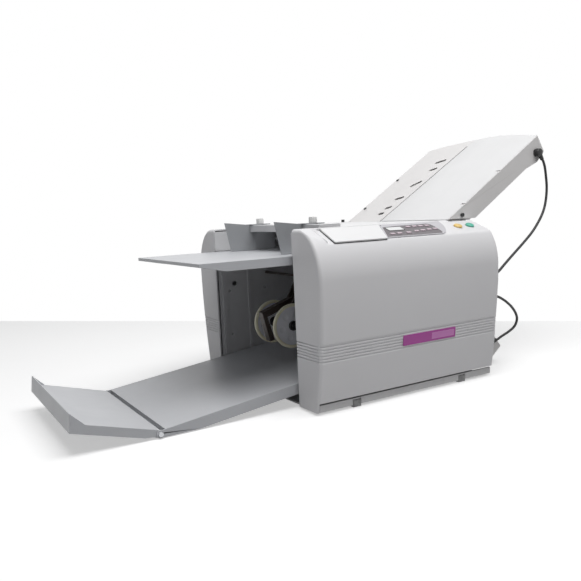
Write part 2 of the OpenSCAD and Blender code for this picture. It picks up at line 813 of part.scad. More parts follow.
// Brings children drawn at [s, y, n] to the upper fold plate
module on_upper() {
  translate([plate_x, 0, plate_top_z]) rotate([0, -upper_tilt, 0]) children();
}

// Plan of the plate, with its bowed end and rounded corners
module upper_plan(inset) {
  w = upper_half_w - inset;
  bow_r = (upper_half_w * upper_half_w + upper_bow * upper_bow) / (2 * upper_bow);
  intersection() {
    translate([-200, -w]) square([600 + upper_len, 2 * w]);
    translate([upper_len + upper_bow - bow_r, 0]) circle(bow_r - inset, $fn = 120);
  }
}

// Side outline of the plate: [s, n]
function upper_side(inset) = [[neck_s - 1, -inset], [upper_len + 60, -inset],
  [upper_len + 60, -upper_t + inset + 1], [upper_len + 1, -upper_t + inset + 1],
  [upper_len - 34, -upper_t - 7 + inset], [upper_len - 74, -upper_t + inset], [neck_s - 1, -upper_t + inset]];

module upper_solid(inset) {
  intersection() {
    on_upper() translate([0, 0, -upper_t - 20]) linear_extrude(upper_t + 40) upper_plan(inset);
    on_upper() side_plate(-upper_half_w, upper_half_w) polygon(upper_side(inset));
  }
}

module plate_notches() {
  on_upper() for (s = notch_s) translate([s, -upper_half_w - 1, -6]) cube([notch_l, notch_d + 1, 16]);
}

module upper_fold_plate() {
  color("#d9d7d6") placed() difference() {
    intersection() {
      upper_solid(0);
      union() {
        // Above the covers the plate has its full width; below them it is a neck between the frames
        translate([0, -200, cover_h + 0.3]) cube([600, 400, 400]);
        translate([0, -neck_half_w, 0]) cube([600, 2 * neck_half_w, 600]);
      }
    }
    intersection() {
      upper_solid(plate_wall);
      union() {
        translate([0, -200, cover_h + plate_wall + 0.3]) cube([600, 400, 400]);
        translate([0, -neck_half_w + plate_wall, 0]) cube([600, 2 * (neck_half_w - plate_wall), 600]);
      }
    }
    // Mouth for the paper
    on_upper() translate([neck_s - 3, -neck_half_w + plate_wall, -upper_t + plate_wall])
      cube([8, 2 * (neck_half_w - plate_wall), upper_t - 2 * plate_wall]);
    // Row of slanting slots in the far strip
    on_upper() for (slot = upper_slots) let (run = slot[1] - slot[0])
      translate([slot[0][0], slot[0][1], -plate_wall - 1]) rotate(atan2(run[1], run[0]))
        translate([0, -slot_w / 2, 0]) cube([norm(run), slot_w, plate_wall + 2]);
    // Notches in the near top edge
    plate_notches();
    // Seat of the cable gland
    on_upper() translate([gland_s, -upper_half_w + 10, gland_n]) rotate([90, 0, 0]) cylinder(r = 5, h = 20);
  }
}

// Light crowned cover over the near part of the plate
module upper_plate_cover() {
  color("#efefef") placed() difference() {
    intersection() {
      on_upper() linear_extrude(30) intersection() {
        upper_plan(2);
        polygon([[0, -300], [600, -300], [600, split_y1 - 8], [upper_len, split_y1], [0, split_y0 + 1]]);
      }
      on_upper() translate([-300, 0, 0]) rotate([90, 0, 90]) linear_extrude(900)
        polygon(concat([[-upper_half_w, 0], [-upper_half_w, 0.6]],
          [for (i = [0:8]) let (t = i / 8)
            [4 - upper_half_w + (upper_half_w + split_y0 - 4) * t, 0.8 + crown * sin(180 * t)]],
          [[split_y0 + 1, 0.6], [split_y0 + 1, 0]]));
      translate([plate_x + 2, -200, cover_h + play]) cube([600, 400, 400]);
    }
    plate_notches();
  }
}

// The stop that the sheet runs against, on its lead screw nut
module upper_fold_stop() {
  color("#6d6f73") placed() on_upper() union() {
    translate([60, -neck_half_w + 12, -upper_t + plate_wall + play])
      cube([6, 2 * neck_half_w - 24, upper_t - 2 * plate_wall - 2 * play]);
    translate([52, -20, -upper_t + plate_wall + play]) cube([22, 40, 8]);
  }
}

// A cable gland on the plate's side wall, with its tail turned by exit_angle
module elbow_gland(centre, boss_y, exit_angle) {
  translate(centre) rotate([0, exit_angle, 0]) {
    rotate([-90, 0, 0]) cylinder(r = gland_r, h = boss_y);
    rotate([90, 0, 0]) cylinder(r = gland_r, h = 6);
    rotate([0, 90, 0]) cylinder(r1 = 6.5, r2 = cable_d / 2 + 1, h = tail_l);
  }
}

module upper_gland() {
  color("#1c1c1e") placed() elbow_gland(GLAND, gland_y - upper_half_w, upper_exit_angle);
}

// ---- Lower fold plate ----

// Brings children drawn at [s, y, n] to the lower fold plate, s running down its slope
module on_lower() {
  translate([fold_nip[0], 0, fold_nip[1]]) rotate([0, lower_tilt, 0]) children();
}

module lower_fold_plate() {
  t = lower_t;
  w = lower_half_w;
  color("#cfcdcc") placed() on_lower() difference() {
    translate([lower_s0, -w, -t / 2]) cube([lower_len - lower_s0, 2 * w, t]);
    translate([lower_s0 - 1, -w + plate_wall, -t / 2 + plate_wall])
      cube([lower_len - lower_s0 - plate_wall + 1, 2 * (w - plate_wall), t - 2 * plate_wall]);
    translate([lower_gland_s, -w + 10, -8]) rotate([90, 0, 0]) cylinder(r = 5, h = 20);
  }
}

module lower_fold_stop() {
  t = lower_t;
  color("#6d6f73") placed() on_lower() union() {
    translate([lower_s0 + 50, -lower_half_w + 12, -t / 2 + plate_wall + play])
      cube([6, 2 * lower_half_w - 24, t - 2 * plate_wall - 2 * play]);
    translate([lower_s0 + 42, -20, -t / 2 + plate_wall + play]) cube([22, 40, 8]);
  }
}

module lower_gland() {
  color("#1c1c1e") placed() elbow_gland(LOWER_GLAND, lower_gland_y - lower_half_w, -lower_exit_angle);
}

// ---- Cables and their sockets ----

// The two cable plugs in the near cover's end wall, and the mains inlet in the rear panel
module rear_sockets() {
  plug_l = 14;
  color("#1c1c1e") placed() union() {
    for (z = [upper_socket_z, lower_socket_z]) translate([cover_end_x, -socket_y, z]) rotate([0, 90, 0]) {
      cylinder(r = 13, h = 3);
      cylinder(r = 9.5, h = plug_l);
      translate([0, 0, plug_l]) cylinder(r1 = 7, r2 = cable_d / 2 + 1, h = socket_l - plug_l);
    }
    translate([rear_x, inlet_at[0], inlet_at[1]]) difference() {
      union() {
        translate([-14, play, play]) cube([14 + sheet_t, inlet_size[0] - 2 * play, inlet_size[1] - 2 * play]);
        translate([sheet_t, -3, -3]) cube([2, inlet_size[0] + 6, inlet_size[1] + 6]);
      }
      translate([-12, 2, 2]) cube([20, inlet_size[0] - 4, inlet_size[1] - 4]);
    }
  }
}

function unit(v) = v / norm(v);
// A smooth curve through the points, steps rings to each stretch
function curve_point(p, i, t) =
  let (a = p[max(i - 1, 0)], b = p[i], c = p[i + 1], d = p[min(i + 2, len(p) - 1)])
  0.5 * (2 * b + (c - a) * t + (2 * a - 5 * b + 4 * c - d) * t * t + (3 * b - a - 3 * c + d) * t * t * t);
function curve(p, steps) =
  concat([for (i = [0:len(p) - 2], k = [0:steps - 1]) curve_point(p, i, k / steps)], [p[len(p) - 1]]);

// A round tube swept along the points as one closed surface
module cable(points) {
  c = curve(points, 2);
  n = len(c);
  m = cable_sides;
  last = len(points) - 1;
  rings = [for (i = [0:n - 1]) let (h = i == 0 ? unit(points[1] - points[0])
      : i == n - 1 ? unit(points[last] - points[last - 1]) : unit(c[i + 1] - c[i - 1]),
      side = unit(cross(h, [0, 1, 0])), up = cross(side, h))
    for (k = [0:m - 1]) c[i] + cable_d / 2 * (side * cos(360 * k / m) + up * sin(360 * k / m))];
  quads = [for (i = [0:n - 2], k = [0:m - 1]) let (a = i * m + k, b = i * m + (k + 1) % m)
    each [[a, b, b + m], [a, b + m, a + m]]];
  ends = [[for (k = [m - 1:-1:0]) k], [for (k = [0:m - 1]) (n - 1) * m + k]];
  polyhedron(points = rings, faces = concat(quads, ends));
}

module upper_cable() {
  color("#18181a") placed() cable(upper_route);
}

module lower_cable() {
  color("#18181a") placed() cable(lower_route);
}

// ---- Control panel ----

// Fascia over the cover's window: it runs from the lid to its rounded end
module bezel_outline() {
  half_x = 60;
  polygon([[lid_edge(bezel_v[0]) + bezel_gap, -bezel_v[0]], [half_x, -bezel_v[0]], [half_x, -bezel_v[1]],
    [lid_edge(bezel_v[1]) + bezel_gap, -bezel_v[1]]]);
  intersection() {
    polygon([[half_x - 1, -bezel_v[0]], [half_x + 80, -bezel_v[0] - 2], [half_x + 80, -56], [103, -56],
      [92, -bezel_v[1]], [half_x - 1, -bezel_v[1]]]);
    translate(bezel_centre) circle(r = bezel_r);
  }
}

module control_panel() {
  color("#bdbbbd") placed() on_panel() difference() {
    linear_extrude(bezel_t) bezel_outline();
    for (k = key_at) translate([k[0] - key_size[0] / 2 - play, -k[1] - key_size[1] / 2 - play, -1])
      cube([key_size[0] + 2 * play, key_size[1] + 2 * play, bezel_t + 2]);
    translate([display_at[0], -display_at[1], bezel_t - 1]) cube([display_size[0], display_size[1], 2]);
    // Room for the eye of the lid's hinge
    translate([lid_end_x - 1, -lid_axis_v - eye_r - play, -1])
      cube([1 + eye_w + 2 * play, 2 * eye_r + 3, bezel_t + 2]);
  }
}

module display_window() {
  color("#eef0f0") placed() on_panel() translate([display_at[0], -display_at[1], bezel_t - 1])
    cube([display_size[0], display_size[1], 1.4]);
}

module control_board() {
  gap = cover_wall + 6;
  x0 = lid_edge(bezel_v[1]) - 6;
  x1 = window_x1 + 6;
  board_t = 1.6;
  color("#3f7a52") placed() on_panel() union() {
    translate([x0, -bezel_v[1], -gap - board_t]) cube([x1 - x0, bezel_v[1] - 4, board_t]);
    // Posts up to the cover, and a switch under each key
    for (x = [x0 + 2, x1 - 2], y = [-59, -7]) translate([x, y, -gap]) cylinder(r = 2, h = 6);
    for (k = key_at) translate([k[0] - 3, -k[1] - 2, -gap]) cube([6, 4, gap + key_foot - key_travel - play]);
  }
}

module key(i) {
  k = key_at[i - 1];
  color("#d8c8d0") placed() on_panel(k[0], k[1])
    translate([-key_size[0] / 2, -key_size[1] / 2, key_foot]) cube([key_size[0], key_size[1], key_h]);
}

module round_button(x) {
  placed() on_panel(x, button_v) translate([0, 0, -5]) union() {
    cylinder(r = button_r, h = 6.2);
    translate([0, 0, 6.2]) cylinder(r1 = button_r, r2 = button_r - 1, h = 0.8);
  }
}

module stop_button() {
  color("#f0c860") round_button(stop_x);
}

module start_button() {
  color("#4fb89a") round_button(start_x);
}

// Flap over the left part of the panel, hinged along its rear edge
module panel_lid() {
  color("#f4f4f4") placed() on_panel() union() {
    translate([0, 0, play]) linear_extrude(lid_t) polygon([[lid_x, -lid_v], [lid_end_x, -lid_v],
      [lid_end_x - lid_slant, -lid_v - lid_w], [lid_x, -lid_v - lid_w]]);
    translate([lid_x, -lid_axis_v, lid_axis_n]) rotate([0, 90, 0]) cylinder(r = 1.6, h = lid_end_x - lid_x);
    translate([lid_x - 3.8, -lid_axis_v, lid_axis_n]) rotate([0, 90, 0])
      cylinder(r = lid_stub_r, h = lid_end_x - lid_x + 7.6);
  }
}

// Black caps of the latches that hold the upper fold plate
module plate_latches() {
  color("#1c1c1e") placed() {
    both_sides() across_rod([plate_x + 30, cover_h + 8], latch_r, upper_half_w, upper_half_w + 4);
    translate([plate_x - 28, frame_out + 3, cover_h]) cylinder(r = latch_r, h = 6);
  }
}

// ---- Delivery tray ----

// Brings children drawn at [s, y, n] to the tray, s running up its slope from the hinge
module on_tray() {
  translate([tray_hinge_x, 0, tray_hinge_z]) rotate([0, -tray_slope, 0]) children();
}

// Side of a tray flange, with its rounded lobe and the bore for the hinge pin
module flange_outline() {
  difference() {
    union() {
      polygon([[0, tray_top_n], [tray_flange_l, tray_top_n], [tray_flange_l, tray_top_n - tray_flange],
        [70, tray_top_n - tray_flange], [0, 0.5 - lobe_r]]);
      circle(r = lobe_r);
    }
    circle(r = pin_r + running_fit);
  }
}

module delivery_tray() {
  floor_s = lobe_r + 2;
  // A turned-down edge and a gutter close the gap over the hinge from below
  gutter_half_w = ext_half_w - sheet_t - pin_l - 0.7;
  gutter_n = 0.5 + gutter_t - lobe_r;
  color("#aaadb2") placed() on_tray() union() {
    translate([-lobe_r, -gutter_half_w, gutter_n - gutter_t])
      cube([floor_s + lobe_r + gutter_t, 2 * gutter_half_w, gutter_t]);
    translate([floor_s, -gutter_half_w, gutter_n - gutter_t])
      cube([gutter_t, 2 * gutter_half_w, tray_top_n - 1 - gutter_n + gutter_t]);
    translate([floor_s, -tray_half_w + 1, tray_top_n - sheet_t])
      cube([tray_in_l - floor_s, 2 * tray_half_w - 2, sheet_t]);
    both_sides() side_plate(tray_half_w - sheet_t, tray_half_w) flange_outline();
  }
}

// The extension's own pins turn in the tray's lobes
module tray_extension() {
  w = ext_half_w;
  color("#aaadb2") placed() union() {
    translate([tray_hinge_x, 0, tray_hinge_z]) rotate([0, ext_tilt, 0]) difference() {
      union() {
        translate([-ext_len, -w, tray_top_n - sheet_t]) cube([ext_len - ext_edge, 2 * w, sheet_t]);
        both_sides() side_plate(w - sheet_t, w) union() {
          polygon([[-ext_len, tray_top_n], [-4, tray_top_n], [0, -lobe_r + 0.5], [-12, -lobe_r + 0.5],
            [-24, -ext_lip_h], [-ext_len, -ext_lip_h]]);
          circle(lobe_r - 0.5);
        }
        // End wall, leaning out, with a gusset at each end
        translate([-ext_len, -w, -ext_lip_h]) rotate([0, -10, 0]) cube([sheet_t, 2 * w, end_wall_h + 4]);
        both_sides() side_plate(w - sheet_t, w)
          polygon([[-ext_len - 3.5, 20], [-ext_len, 4], [-ext_len + 26, 4]]);
      }
      // Room for the tray's surface
      translate([-ext_edge, -w + sheet_t, -20]) cube([20, 2 * (w - sheet_t), 40]);
    }
    both_sides() across_rod([tray_hinge_x, tray_hinge_z], pin_r, w - sheet_t - pin_l, tray_half_w + 1.5);
    both_sides() across_rod([tray_hinge_x, tray_hinge_z], pin_r + 1.5, tray_half_w + 0.3, tray_half_w + 2);
  }
}

// ---- Stacker ----

// Swinging arm with the dark deflector that turns the sheets down
module stacker_arm() {
  tip = [wheel_x, wheel_z];
  color("#3a302a") placed() difference() {
    union() {
      for (y = arm_y) side_plate(y, y + arm_t) {
        polygon([arm_pivot + [-9, 5], arm_pivot + [7, -8], tip + [9, -4], tip + [-9, 4]]);
        translate(arm_pivot) circle(10);
        translate(tip) circle(9);
      }
      // Deflector: a strip bent twice, down from the pivot, out over the wheels and round in front of them
      side_plate(deflector_y[0], deflector_y[1]) polygon([arm_pivot + [-8, 6], deflector_elbow, deflector_knee,
        deflector_foot, deflector_foot + [11, 2], deflector_knee + [11, -9], deflector_elbow + [9, -11],
        arm_pivot + [8, 0]]);
      across_rod(arm_pivot, pin_r, -frame_in - 1, frame_in + 1);
    }
    across_rod(tip, wheel_shaft_r + running_fit, arm_y[0] - 1, arm_y[1] + arm_t + 1);
  }
}

module stacker_wheels() {
  at = [wheel_x, wheel_z];
  color("#d8d0a0") placed() union() {
    for (y = wheel_y) difference() {
      across_rod(at, wheel_r, y, y + wheel_t);
      // Each side is dished inside the rim
      across_rod(at, wheel_r - 6, y - 1, y + 1.5);
      across_rod(at, wheel_r - 6, y + wheel_t - 1.5, y + wheel_t + 1);
    }
    across_rod(at, wheel_shaft_r, wheel_y[0] - 4, wheel_y[1] + wheel_t + 4);
    for (y = wheel_y) across_rod(at, hub_r, y - 3, y + wheel_t + 3);
  }
}

base_pan();
rubber_feet();
near_side_frame();
far_side_frame();
tie_bars();
near_side_cover();
far_side_cover();
rear_panel();
guide_bar();
top_cover();
plate_latches();
name_plate();
control_panel();
display_window();
control_board();
panel_lid();
stop_button();
start_button();
key(1);  // key_1
key(2);  // key_2
key(3);  // key_3
key(4);  // key_4
key(5);  // key_5
key(6);  // key_6
key(7);  // key_7
key(8);  // key_8
key(9);  // key_9
key(10);  // key_10
key(11);  // key_11
feed_table();
side_guide_near();
side_guide_far();
guide_knob_near();
guide_knob_far();
feed_roller();
separator_pad();
fold_roller_1();
fold_roller_2();
fold_roller_3();
fold_roller_4();
roller_bearings();
drive_motor();
motor_pulley();
drive_belt();
exit_chute();
upper_fold_plate();
upper_plate_cover();
upper_fold_stop();
upper_gland();
lower_fold_plate();
lower_fold_stop();
lower_gland();
rear_sockets();
upper_cable();
lower_cable();
delivery_tray();
tray_extension();
stacker_arm();
stacker_wheels();
power_switch();
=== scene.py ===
import bmesh
import bpy
from math import asin, atan2, cos, hypot, pi, radians, sin, sqrt, tan
from mathutils import Matrix, Vector


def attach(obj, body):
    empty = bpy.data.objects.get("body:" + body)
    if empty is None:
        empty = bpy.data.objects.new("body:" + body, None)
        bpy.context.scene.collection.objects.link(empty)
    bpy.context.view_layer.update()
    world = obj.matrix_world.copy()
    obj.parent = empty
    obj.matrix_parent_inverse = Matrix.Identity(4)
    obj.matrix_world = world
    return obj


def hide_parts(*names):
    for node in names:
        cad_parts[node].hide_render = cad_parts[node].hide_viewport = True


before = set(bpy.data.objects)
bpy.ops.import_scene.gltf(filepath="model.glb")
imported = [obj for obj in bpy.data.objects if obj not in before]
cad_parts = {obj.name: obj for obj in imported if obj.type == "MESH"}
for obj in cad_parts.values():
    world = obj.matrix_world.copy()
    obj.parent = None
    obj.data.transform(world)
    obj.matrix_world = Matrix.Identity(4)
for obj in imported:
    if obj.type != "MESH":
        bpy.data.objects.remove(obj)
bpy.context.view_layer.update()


# Camera, lamps and floor
# The machine stands on a pale table in a bright room, seen from its front left, a little above the
# feed table. A large soft lamp hangs over it, a weak one behind its far side, and the walls give the rest.
MIDDLE = 67.633
PICTURE, FOCAL, SKYLINE, SENSOR = 581, 656.5, 321, 36
TABLE_DEPTH, TABLE_LIFT = 9, 0.45


def at(x, y, z):
    """A place on the machine in millimetres, X counted from the covers' middle, as metres in the frame."""
    return Vector(((x + MIDDLE) / 1000, y / 1000, z / 1000))


around, above, tilt = radians(-31.0), radians(6.8), radians(-2.7)
back = Vector((sin(around) * cos(above), -cos(around) * cos(above), sin(above)))
across = Vector((cos(around), sin(around), 0))
up = across.cross(back) * -1
view_right = across * cos(tilt) + up * sin(tilt)
view_up = up * cos(tilt) - across * sin(tilt)
eye = at(-119.9, 0, 195.3) + back * 1.3608
camera = bpy.data.objects.new("camera", bpy.data.cameras.new("camera"))
camera.matrix_world = Matrix((view_right, view_up, back)).transposed().to_4x4()
camera.location = eye
camera.data.sensor_width = SENSOR
camera.data.lens = FOCAL / PICTURE * SENSOR
camera.data.clip_start = 0.05
bpy.context.scene.collection.objects.link(camera)
bpy.context.scene.camera = camera
bpy.context.scene.view_settings.view_transform = "Standard"


def lamp(name, place, aim, size, watts):
    light = bpy.data.lights.new(name, "AREA")
    light.shape = "RECTANGLE"
    light.size, light.size_y = size
    light.energy = watts
    holder = bpy.data.objects.new(name, light)
    holder.location = place
    holder.rotation_euler = (Vector(aim) - Vector(place)).to_track_quat("-Z", "Y").to_euler()
    bpy.context.scene.collection.objects.link(holder)


lamp("lamp_overhead", (-0.05, -0.7, 2.05), (0.05, -0.05, 0.2), (1.9, 1.2), 36.2)
lamp("lamp_rear", (0.6, 1.6, 1.9), (0.6, 1.6, 0.2), (1.8, 1.2), 4)

room = bpy.data.worlds.new("room")
bpy.context.scene.world = room
room.use_nodes = True
links, nodes = room.node_tree.links, room.node_tree.nodes


def shown_rays(tree):
    """1 for what the camera sees straight, mirrored or through glass; 0 where it only gives light."""
    seen = tree.nodes.new("ShaderNodeLightPath")
    total = seen.outputs["Is Camera Ray"]
    for name in ("Is Glossy Ray", "Is Transmission Ray"):
        most = tree.nodes.new("ShaderNodeMath")
        most.operation = "MAXIMUM"
        tree.links.new(total, most.inputs[0])
        tree.links.new(seen.outputs[name], most.inputs[1])
        total = most.outputs[0]
    return total


white = nodes.new("ShaderNodeBackground")
white.inputs["Color"].default_value = (1, 1, 1, 1)
walls = nodes["Background"]
walls.inputs["Color"].default_value = (0.97, 0.98, 1, 1)
walls.inputs["Strength"].default_value = 0.13
either = nodes.new("ShaderNodeMixShader")
links.new(shown_rays(room.node_tree), either.inputs[0])
links.new(walls.outputs[0], either.inputs[1])
links.new(white.outputs[0], either.inputs[2])
links.new(either.outputs[0], nodes["World Output"].inputs["Surface"])


class Finish:
    """A material built from nodes, with its shader, its links and a place in metres to hang patterns on."""

    def __init__(self, name):
        self.material = bpy.data.materials.new(name)
        self.material.use_nodes = True
        self.nodes = self.material.node_tree.nodes
        self.links = self.material.node_tree.links
        self.shader = self.nodes["Principled BSDF"]
        self.place = self.nodes.new("ShaderNodeTexCoord").outputs["Object"]

    def node(self, kind, **settings):
        made = self.nodes.new("ShaderNode" + kind)
        for key, value in settings.items():
            setattr(made, key, value)
        return made

    def noise(self, per_metre, detail=2.0, rough=0.5):
        made = self.node("TexNoise")
        made.inputs["Scale"].default_value = per_metre
        made.inputs["Detail"].default_value = detail
        made.inputs["Roughness"].default_value = rough
        self.links.new(self.place, made.inputs["Vector"])
        return made.outputs["Fac"]

    def ramp(self, amount, low, high, dark, light):
        made = self.node("ValToRGB")
        ends = made.color_ramp.elements
        ends[0].position, ends[1].position = low, high
        ends[0].color, ends[1].color = (*dark, 1), (*light, 1)
        self.links.new(amount, made.inputs["Fac"])
        return made.outputs["Color"]

    def colour(self, amount, low, high, dark, light):
        self.links.new(self.ramp(amount, low, high, dark, light), self.shader.inputs["Base Color"])

    def grain(self, height, depth_mm, strength):
        made = self.node("Bump")
        made.inputs["Strength"].default_value = strength
        made.inputs["Distance"].default_value = depth_mm / 1000
        self.links.new(height, made.inputs["Height"])
        self.links.new(made.outputs["Normal"], self.shader.inputs["Normal"])

    def rough(self, amount, low, high):
        made = self.node("MapRange")
        made.inputs["To Min"].default_value = low
        made.inputs["To Max"].default_value = high
        self.links.new(amount, made.inputs["Value"])
        self.links.new(made.outputs["Result"], self.shader.inputs["Roughness"])


def shade(colour, by):
    return tuple(min(1, c * by) for c in colour)


floor_finish = Finish("table_top")
floor_seen = shown_rays(floor_finish.material.node_tree)
floor_tone = floor_finish.node("Mix", data_type="RGBA")
floor_tone.inputs[6].default_value = (0.5, 0.5, 0.5, 1)
floor_finish.links.new(floor_seen, floor_tone.inputs["Factor"])
floor_cloud = floor_finish.ramp(floor_finish.noise(3), 0.2, 0.8, (0.73, 0.73, 0.73), (0.75, 0.75, 0.75))
floor_finish.links.new(floor_cloud, floor_tone.inputs[7])
floor_finish.links.new(floor_tone.outputs[2], floor_finish.shader.inputs["Base Color"])
floor_finish.shader.inputs["Roughness"].default_value = 0.8
floor_finish.shader.inputs["Specular IOR Level"].default_value = 0.1
lift = floor_finish.node("Math", operation="MULTIPLY")
lift.inputs[1].default_value = TABLE_LIFT
floor_finish.links.new(floor_seen, lift.inputs[0])
floor_finish.links.new(lift.outputs[0], floor_finish.shader.inputs["Emission Strength"])
floor_finish.shader.inputs["Emission Color"].default_value = (1, 1, 1, 1)
corners = []
for u in (-900, 1500):
    ray = view_right * (u - PICTURE / 2) + view_up * (PICTURE / 2 - SKYLINE) - back * FOCAL
    corners.append(eye - ray * (eye.z / ray.z))
near_way = Vector((back.x, back.y, 0)).normalized() * TABLE_DEPTH
corners += [corners[1] + near_way, corners[0] + near_way]
floor_mesh = bpy.data.meshes.new("table_top")
floor_mesh.from_pydata([(p.x, p.y, -0.0004) for p in corners], [], [(3, 2, 1, 0)])
floor = bpy.data.objects.new("table_top", floor_mesh)
bpy.context.scene.collection.objects.link(floor)
floor.data.materials.append(floor_finish.material)


# Fold stop cables
# Two round black rubber cables carry the fold stops' motor leads. Each leaves the side of a fold plate
# through an elbow gland with a ribbed tail and ends in a plug in the near cover's rear end.
def rubber(name, colour):
    finish = Finish(name)
    finish.colour(finish.noise(120, 3), 0.3, 0.7, shade(colour, 0.75), shade(colour, 1.35))
    finish.rough(finish.noise(300), 0.42, 0.62)
    finish.grain(finish.noise(1400, 3), 0.06, 0.6)
    return finish.material


def ride_as(piece, body, finish, replaced=()):
    """Gives a finished piece its material, sets it on its body and lets it stand for CAD nodes."""
    if finish is not None:
        piece.data.materials.clear()
        piece.data.materials.append(finish)
    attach(piece, body)
    if replaced:
        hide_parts(*replaced)
    return piece


def piece_of(name, verts, faces):
    mesh = bpy.data.meshes.new(name)
    mesh.from_pydata([tuple(v) for v in verts], [], faces)
    mesh.validate()
    piece = bpy.data.objects.new(name, mesh)
    bpy.context.scene.collection.objects.link(piece)
    tidy = bmesh.new()
    tidy.from_mesh(mesh)
    bmesh.ops.recalc_face_normals(tidy, faces=tidy.faces)
    tidy.to_mesh(mesh)
    tidy.free()
    return piece


def smooth(piece, crease=32):
    mesh = piece.data
    mesh.polygons.foreach_set("use_smooth", [True] * len(mesh.polygons))
    mesh.set_sharp_from_angle(angle=radians(crease))
    even = piece.modifiers.new("even_shading", "WEIGHTED_NORMAL")
    even.keep_sharp = True
    return piece


def set_hard(piece):
    """Keeps what the modifiers made as the piece's own mesh."""
    bpy.context.view_layer.update()
    made = bpy.data.meshes.new_from_object(piece.evaluated_get(bpy.context.evaluated_depsgraph_get()))
    made.name = piece.name
    piece.modifiers.clear()
    piece.data = made
    return piece


def soften(piece, mm, steps=3, angle=30):
    bevel = piece.modifiers.new("soft_edges", "BEVEL")
    bevel.width = mm / 1000
    bevel.segments = steps
    bevel.limit_method = "ANGLE"
    bevel.angle_limit = radians(angle)
    return set_hard(piece)


def turned(name, profile, place, axis, steps=48):
    """A turned piece: profile is [radius, distance along the axis] in millimetres."""
    turn = Vector((0, 0, 1)).rotation_difference(Vector(axis).normalized()).to_matrix()
    verts, faces, n = [], [], len(profile)
    for k in range(steps):
        a = 2 * pi * k / steps
        for r, along in profile:
            verts.append(Vector(place) + turn @ Vector((r * cos(a), r * sin(a), along)) / 1000)
    for k in range(steps):
        m = (k + 1) % steps
        for i in range(n - 1):
            faces.append((k * n + i, m * n + i, m * n + i + 1, k * n + i + 1))
    for i, flip in ((0, True), (n - 1, False)):
        if profile[i][0] > 0.01 and profile[0] != profile[-1]:
            ring = [k * n + i for k in range(steps)]
            faces.append(ring if not flip else ring[::-1])
    piece = piece_of(name, verts, faces)
    joined = bmesh.new()
    joined.from_mesh(piece.data)
    bmesh.ops.remove_doubles(joined, verts=joined.verts, dist=1e-6)
    bmesh.ops.recalc_face_normals(joined, faces=joined.faces)
    joined.to_mesh(piece.data)
    joined.free()
    return smooth(piece)


def one_piece(name, parts):
    """Joins meshes into one."""
    whole = bmesh.new()
    for part in parts:
        before = set(whole.verts)
        whole.from_mesh(part.data)
        added = [v for v in whole.verts if v not in before]
        bmesh.ops.transform(whole, matrix=part.matrix_world, verts=added)
    mesh = bpy.data.meshes.new(name)
    whole.to_mesh(mesh)
    whole.free()
    for part in parts:
        bpy.data.objects.remove(part)
    piece = bpy.data.objects.new(name, mesh)
    bpy.context.scene.collection.objects.link(piece)
    return piece


PLATE_RISE = radians(32.2)
PLATE_DOOR = (169, 331)


def on_upper(s, y, n):
    """A place on the upper fold plate: s along its slope from the covers, n square to its top."""
    return at(PLATE_DOOR[0] + s * cos(PLATE_RISE) - n * sin(PLATE_RISE), y,
              PLATE_DOOR[1] + s * sin(PLATE_RISE) + n * cos(PLATE_RISE))


cable_black = rubber("cable_sheath", (0.012, 0.012, 0.013))
CABLE_D, TAIL_L, PLUG_L = 0.0055, 20, 24
SOCKET_X, SOCKET_Y, UPPER_SOCKET_Z, LOWER_SOCKET_Z = 243, -204.5, 204, 163
upper_gland = on_upper(292, -179, -28.7)
upper_exit = Vector((cos(radians(50)), 0, -sin(radians(50))))
PLATE_FALL = radians(51.8)
NIP = (128.708, 262.257)


def on_lower(s, y, n):
    """A place on the lower fold plate: s down its slope from the fold rollers, n square to it."""
    return at(NIP[0] + s * cos(PLATE_FALL) + n * sin(PLATE_FALL), y,
              NIP[1] - s * sin(PLATE_FALL) + n * cos(PLATE_FALL))


lower_gland = on_lower(262, -166.5, -8)
lower_exit = Vector((cos(radians(10)), 0, sin(radians(10))))
upper_start = upper_gland + TAIL_L / 1000 * upper_exit
lower_end = lower_gland + TAIL_L / 1000 * lower_exit
upper_route = [upper_start, upper_start + 0.005 * upper_exit] + [at(*p) for p in (
    (451, -180.5, 430), (454.5, -181, 408), (455.5, -182, 385), (452, -183, 361), (443.5, -185, 340),
    (431, -187, 322), (414, -189, 304.5), (394, -192, 288.5), (370, -195, 273), (344, -198, 257.5),
    (316, -201, 241), (290, -203, 224.5), (268, -204.5, 210.5), (SOCKET_X + 6, SOCKET_Y, UPPER_SOCKET_Z),
    (SOCKET_X, SOCKET_Y, UPPER_SOCKET_Z))]
lower_route = [at(*p) for p in (
    (SOCKET_X, SOCKET_Y, LOWER_SOCKET_Z), (SOCKET_X + 6, SOCKET_Y, LOWER_SOCKET_Z),
    (268, -204, 158.5), (288, -201, 150), (309, -197, 138.5),
    (328, -192, 126), (344, -187, 112), (354, -182, 97), (352, -177, 81), (338, -171.5, 69),
    (320, -168, 61))] + [lower_end + 0.006 * lower_exit, lower_end]


def spline_point(p, i, t):
    a, b, c, d = p[max(i - 1, 0)], p[i], p[i + 1], p[min(i + 2, len(p) - 1)]
    return 0.5 * (2 * b + (c - a) * t + (2 * a - 5 * b + 4 * c - d) * t * t
                  + (3 * b - a - 3 * c + d) * t ** 3)


def cable(name, route, node):
    line = [spline_point(route, i, k / 6) for i in range(len(route) - 1) for k in range(6)] + [route[-1]]
    curve = bpy.data.curves.new(name, "CURVE")
    curve.dimensions = "3D"
    curve.bevel_depth = CABLE_D / 2
    curve.bevel_resolution = 5
    curve.use_fill_caps = True
    spline = curve.splines.new("POLY")
    spline.points.add(len(line) - 1)
    for point, place in zip(spline.points, line):
        point.co = (*place, 1)
    spline.use_smooth = True
    piece = bpy.data.objects.new(name, curve)
    bpy.context.scene.collection.objects.link(piece)
    ride_as(piece, "machine", cable_black, [node])


cable("cable_upper", upper_route, "upper_cable")
cable("cable_lower", lower_route, "lower_cable")


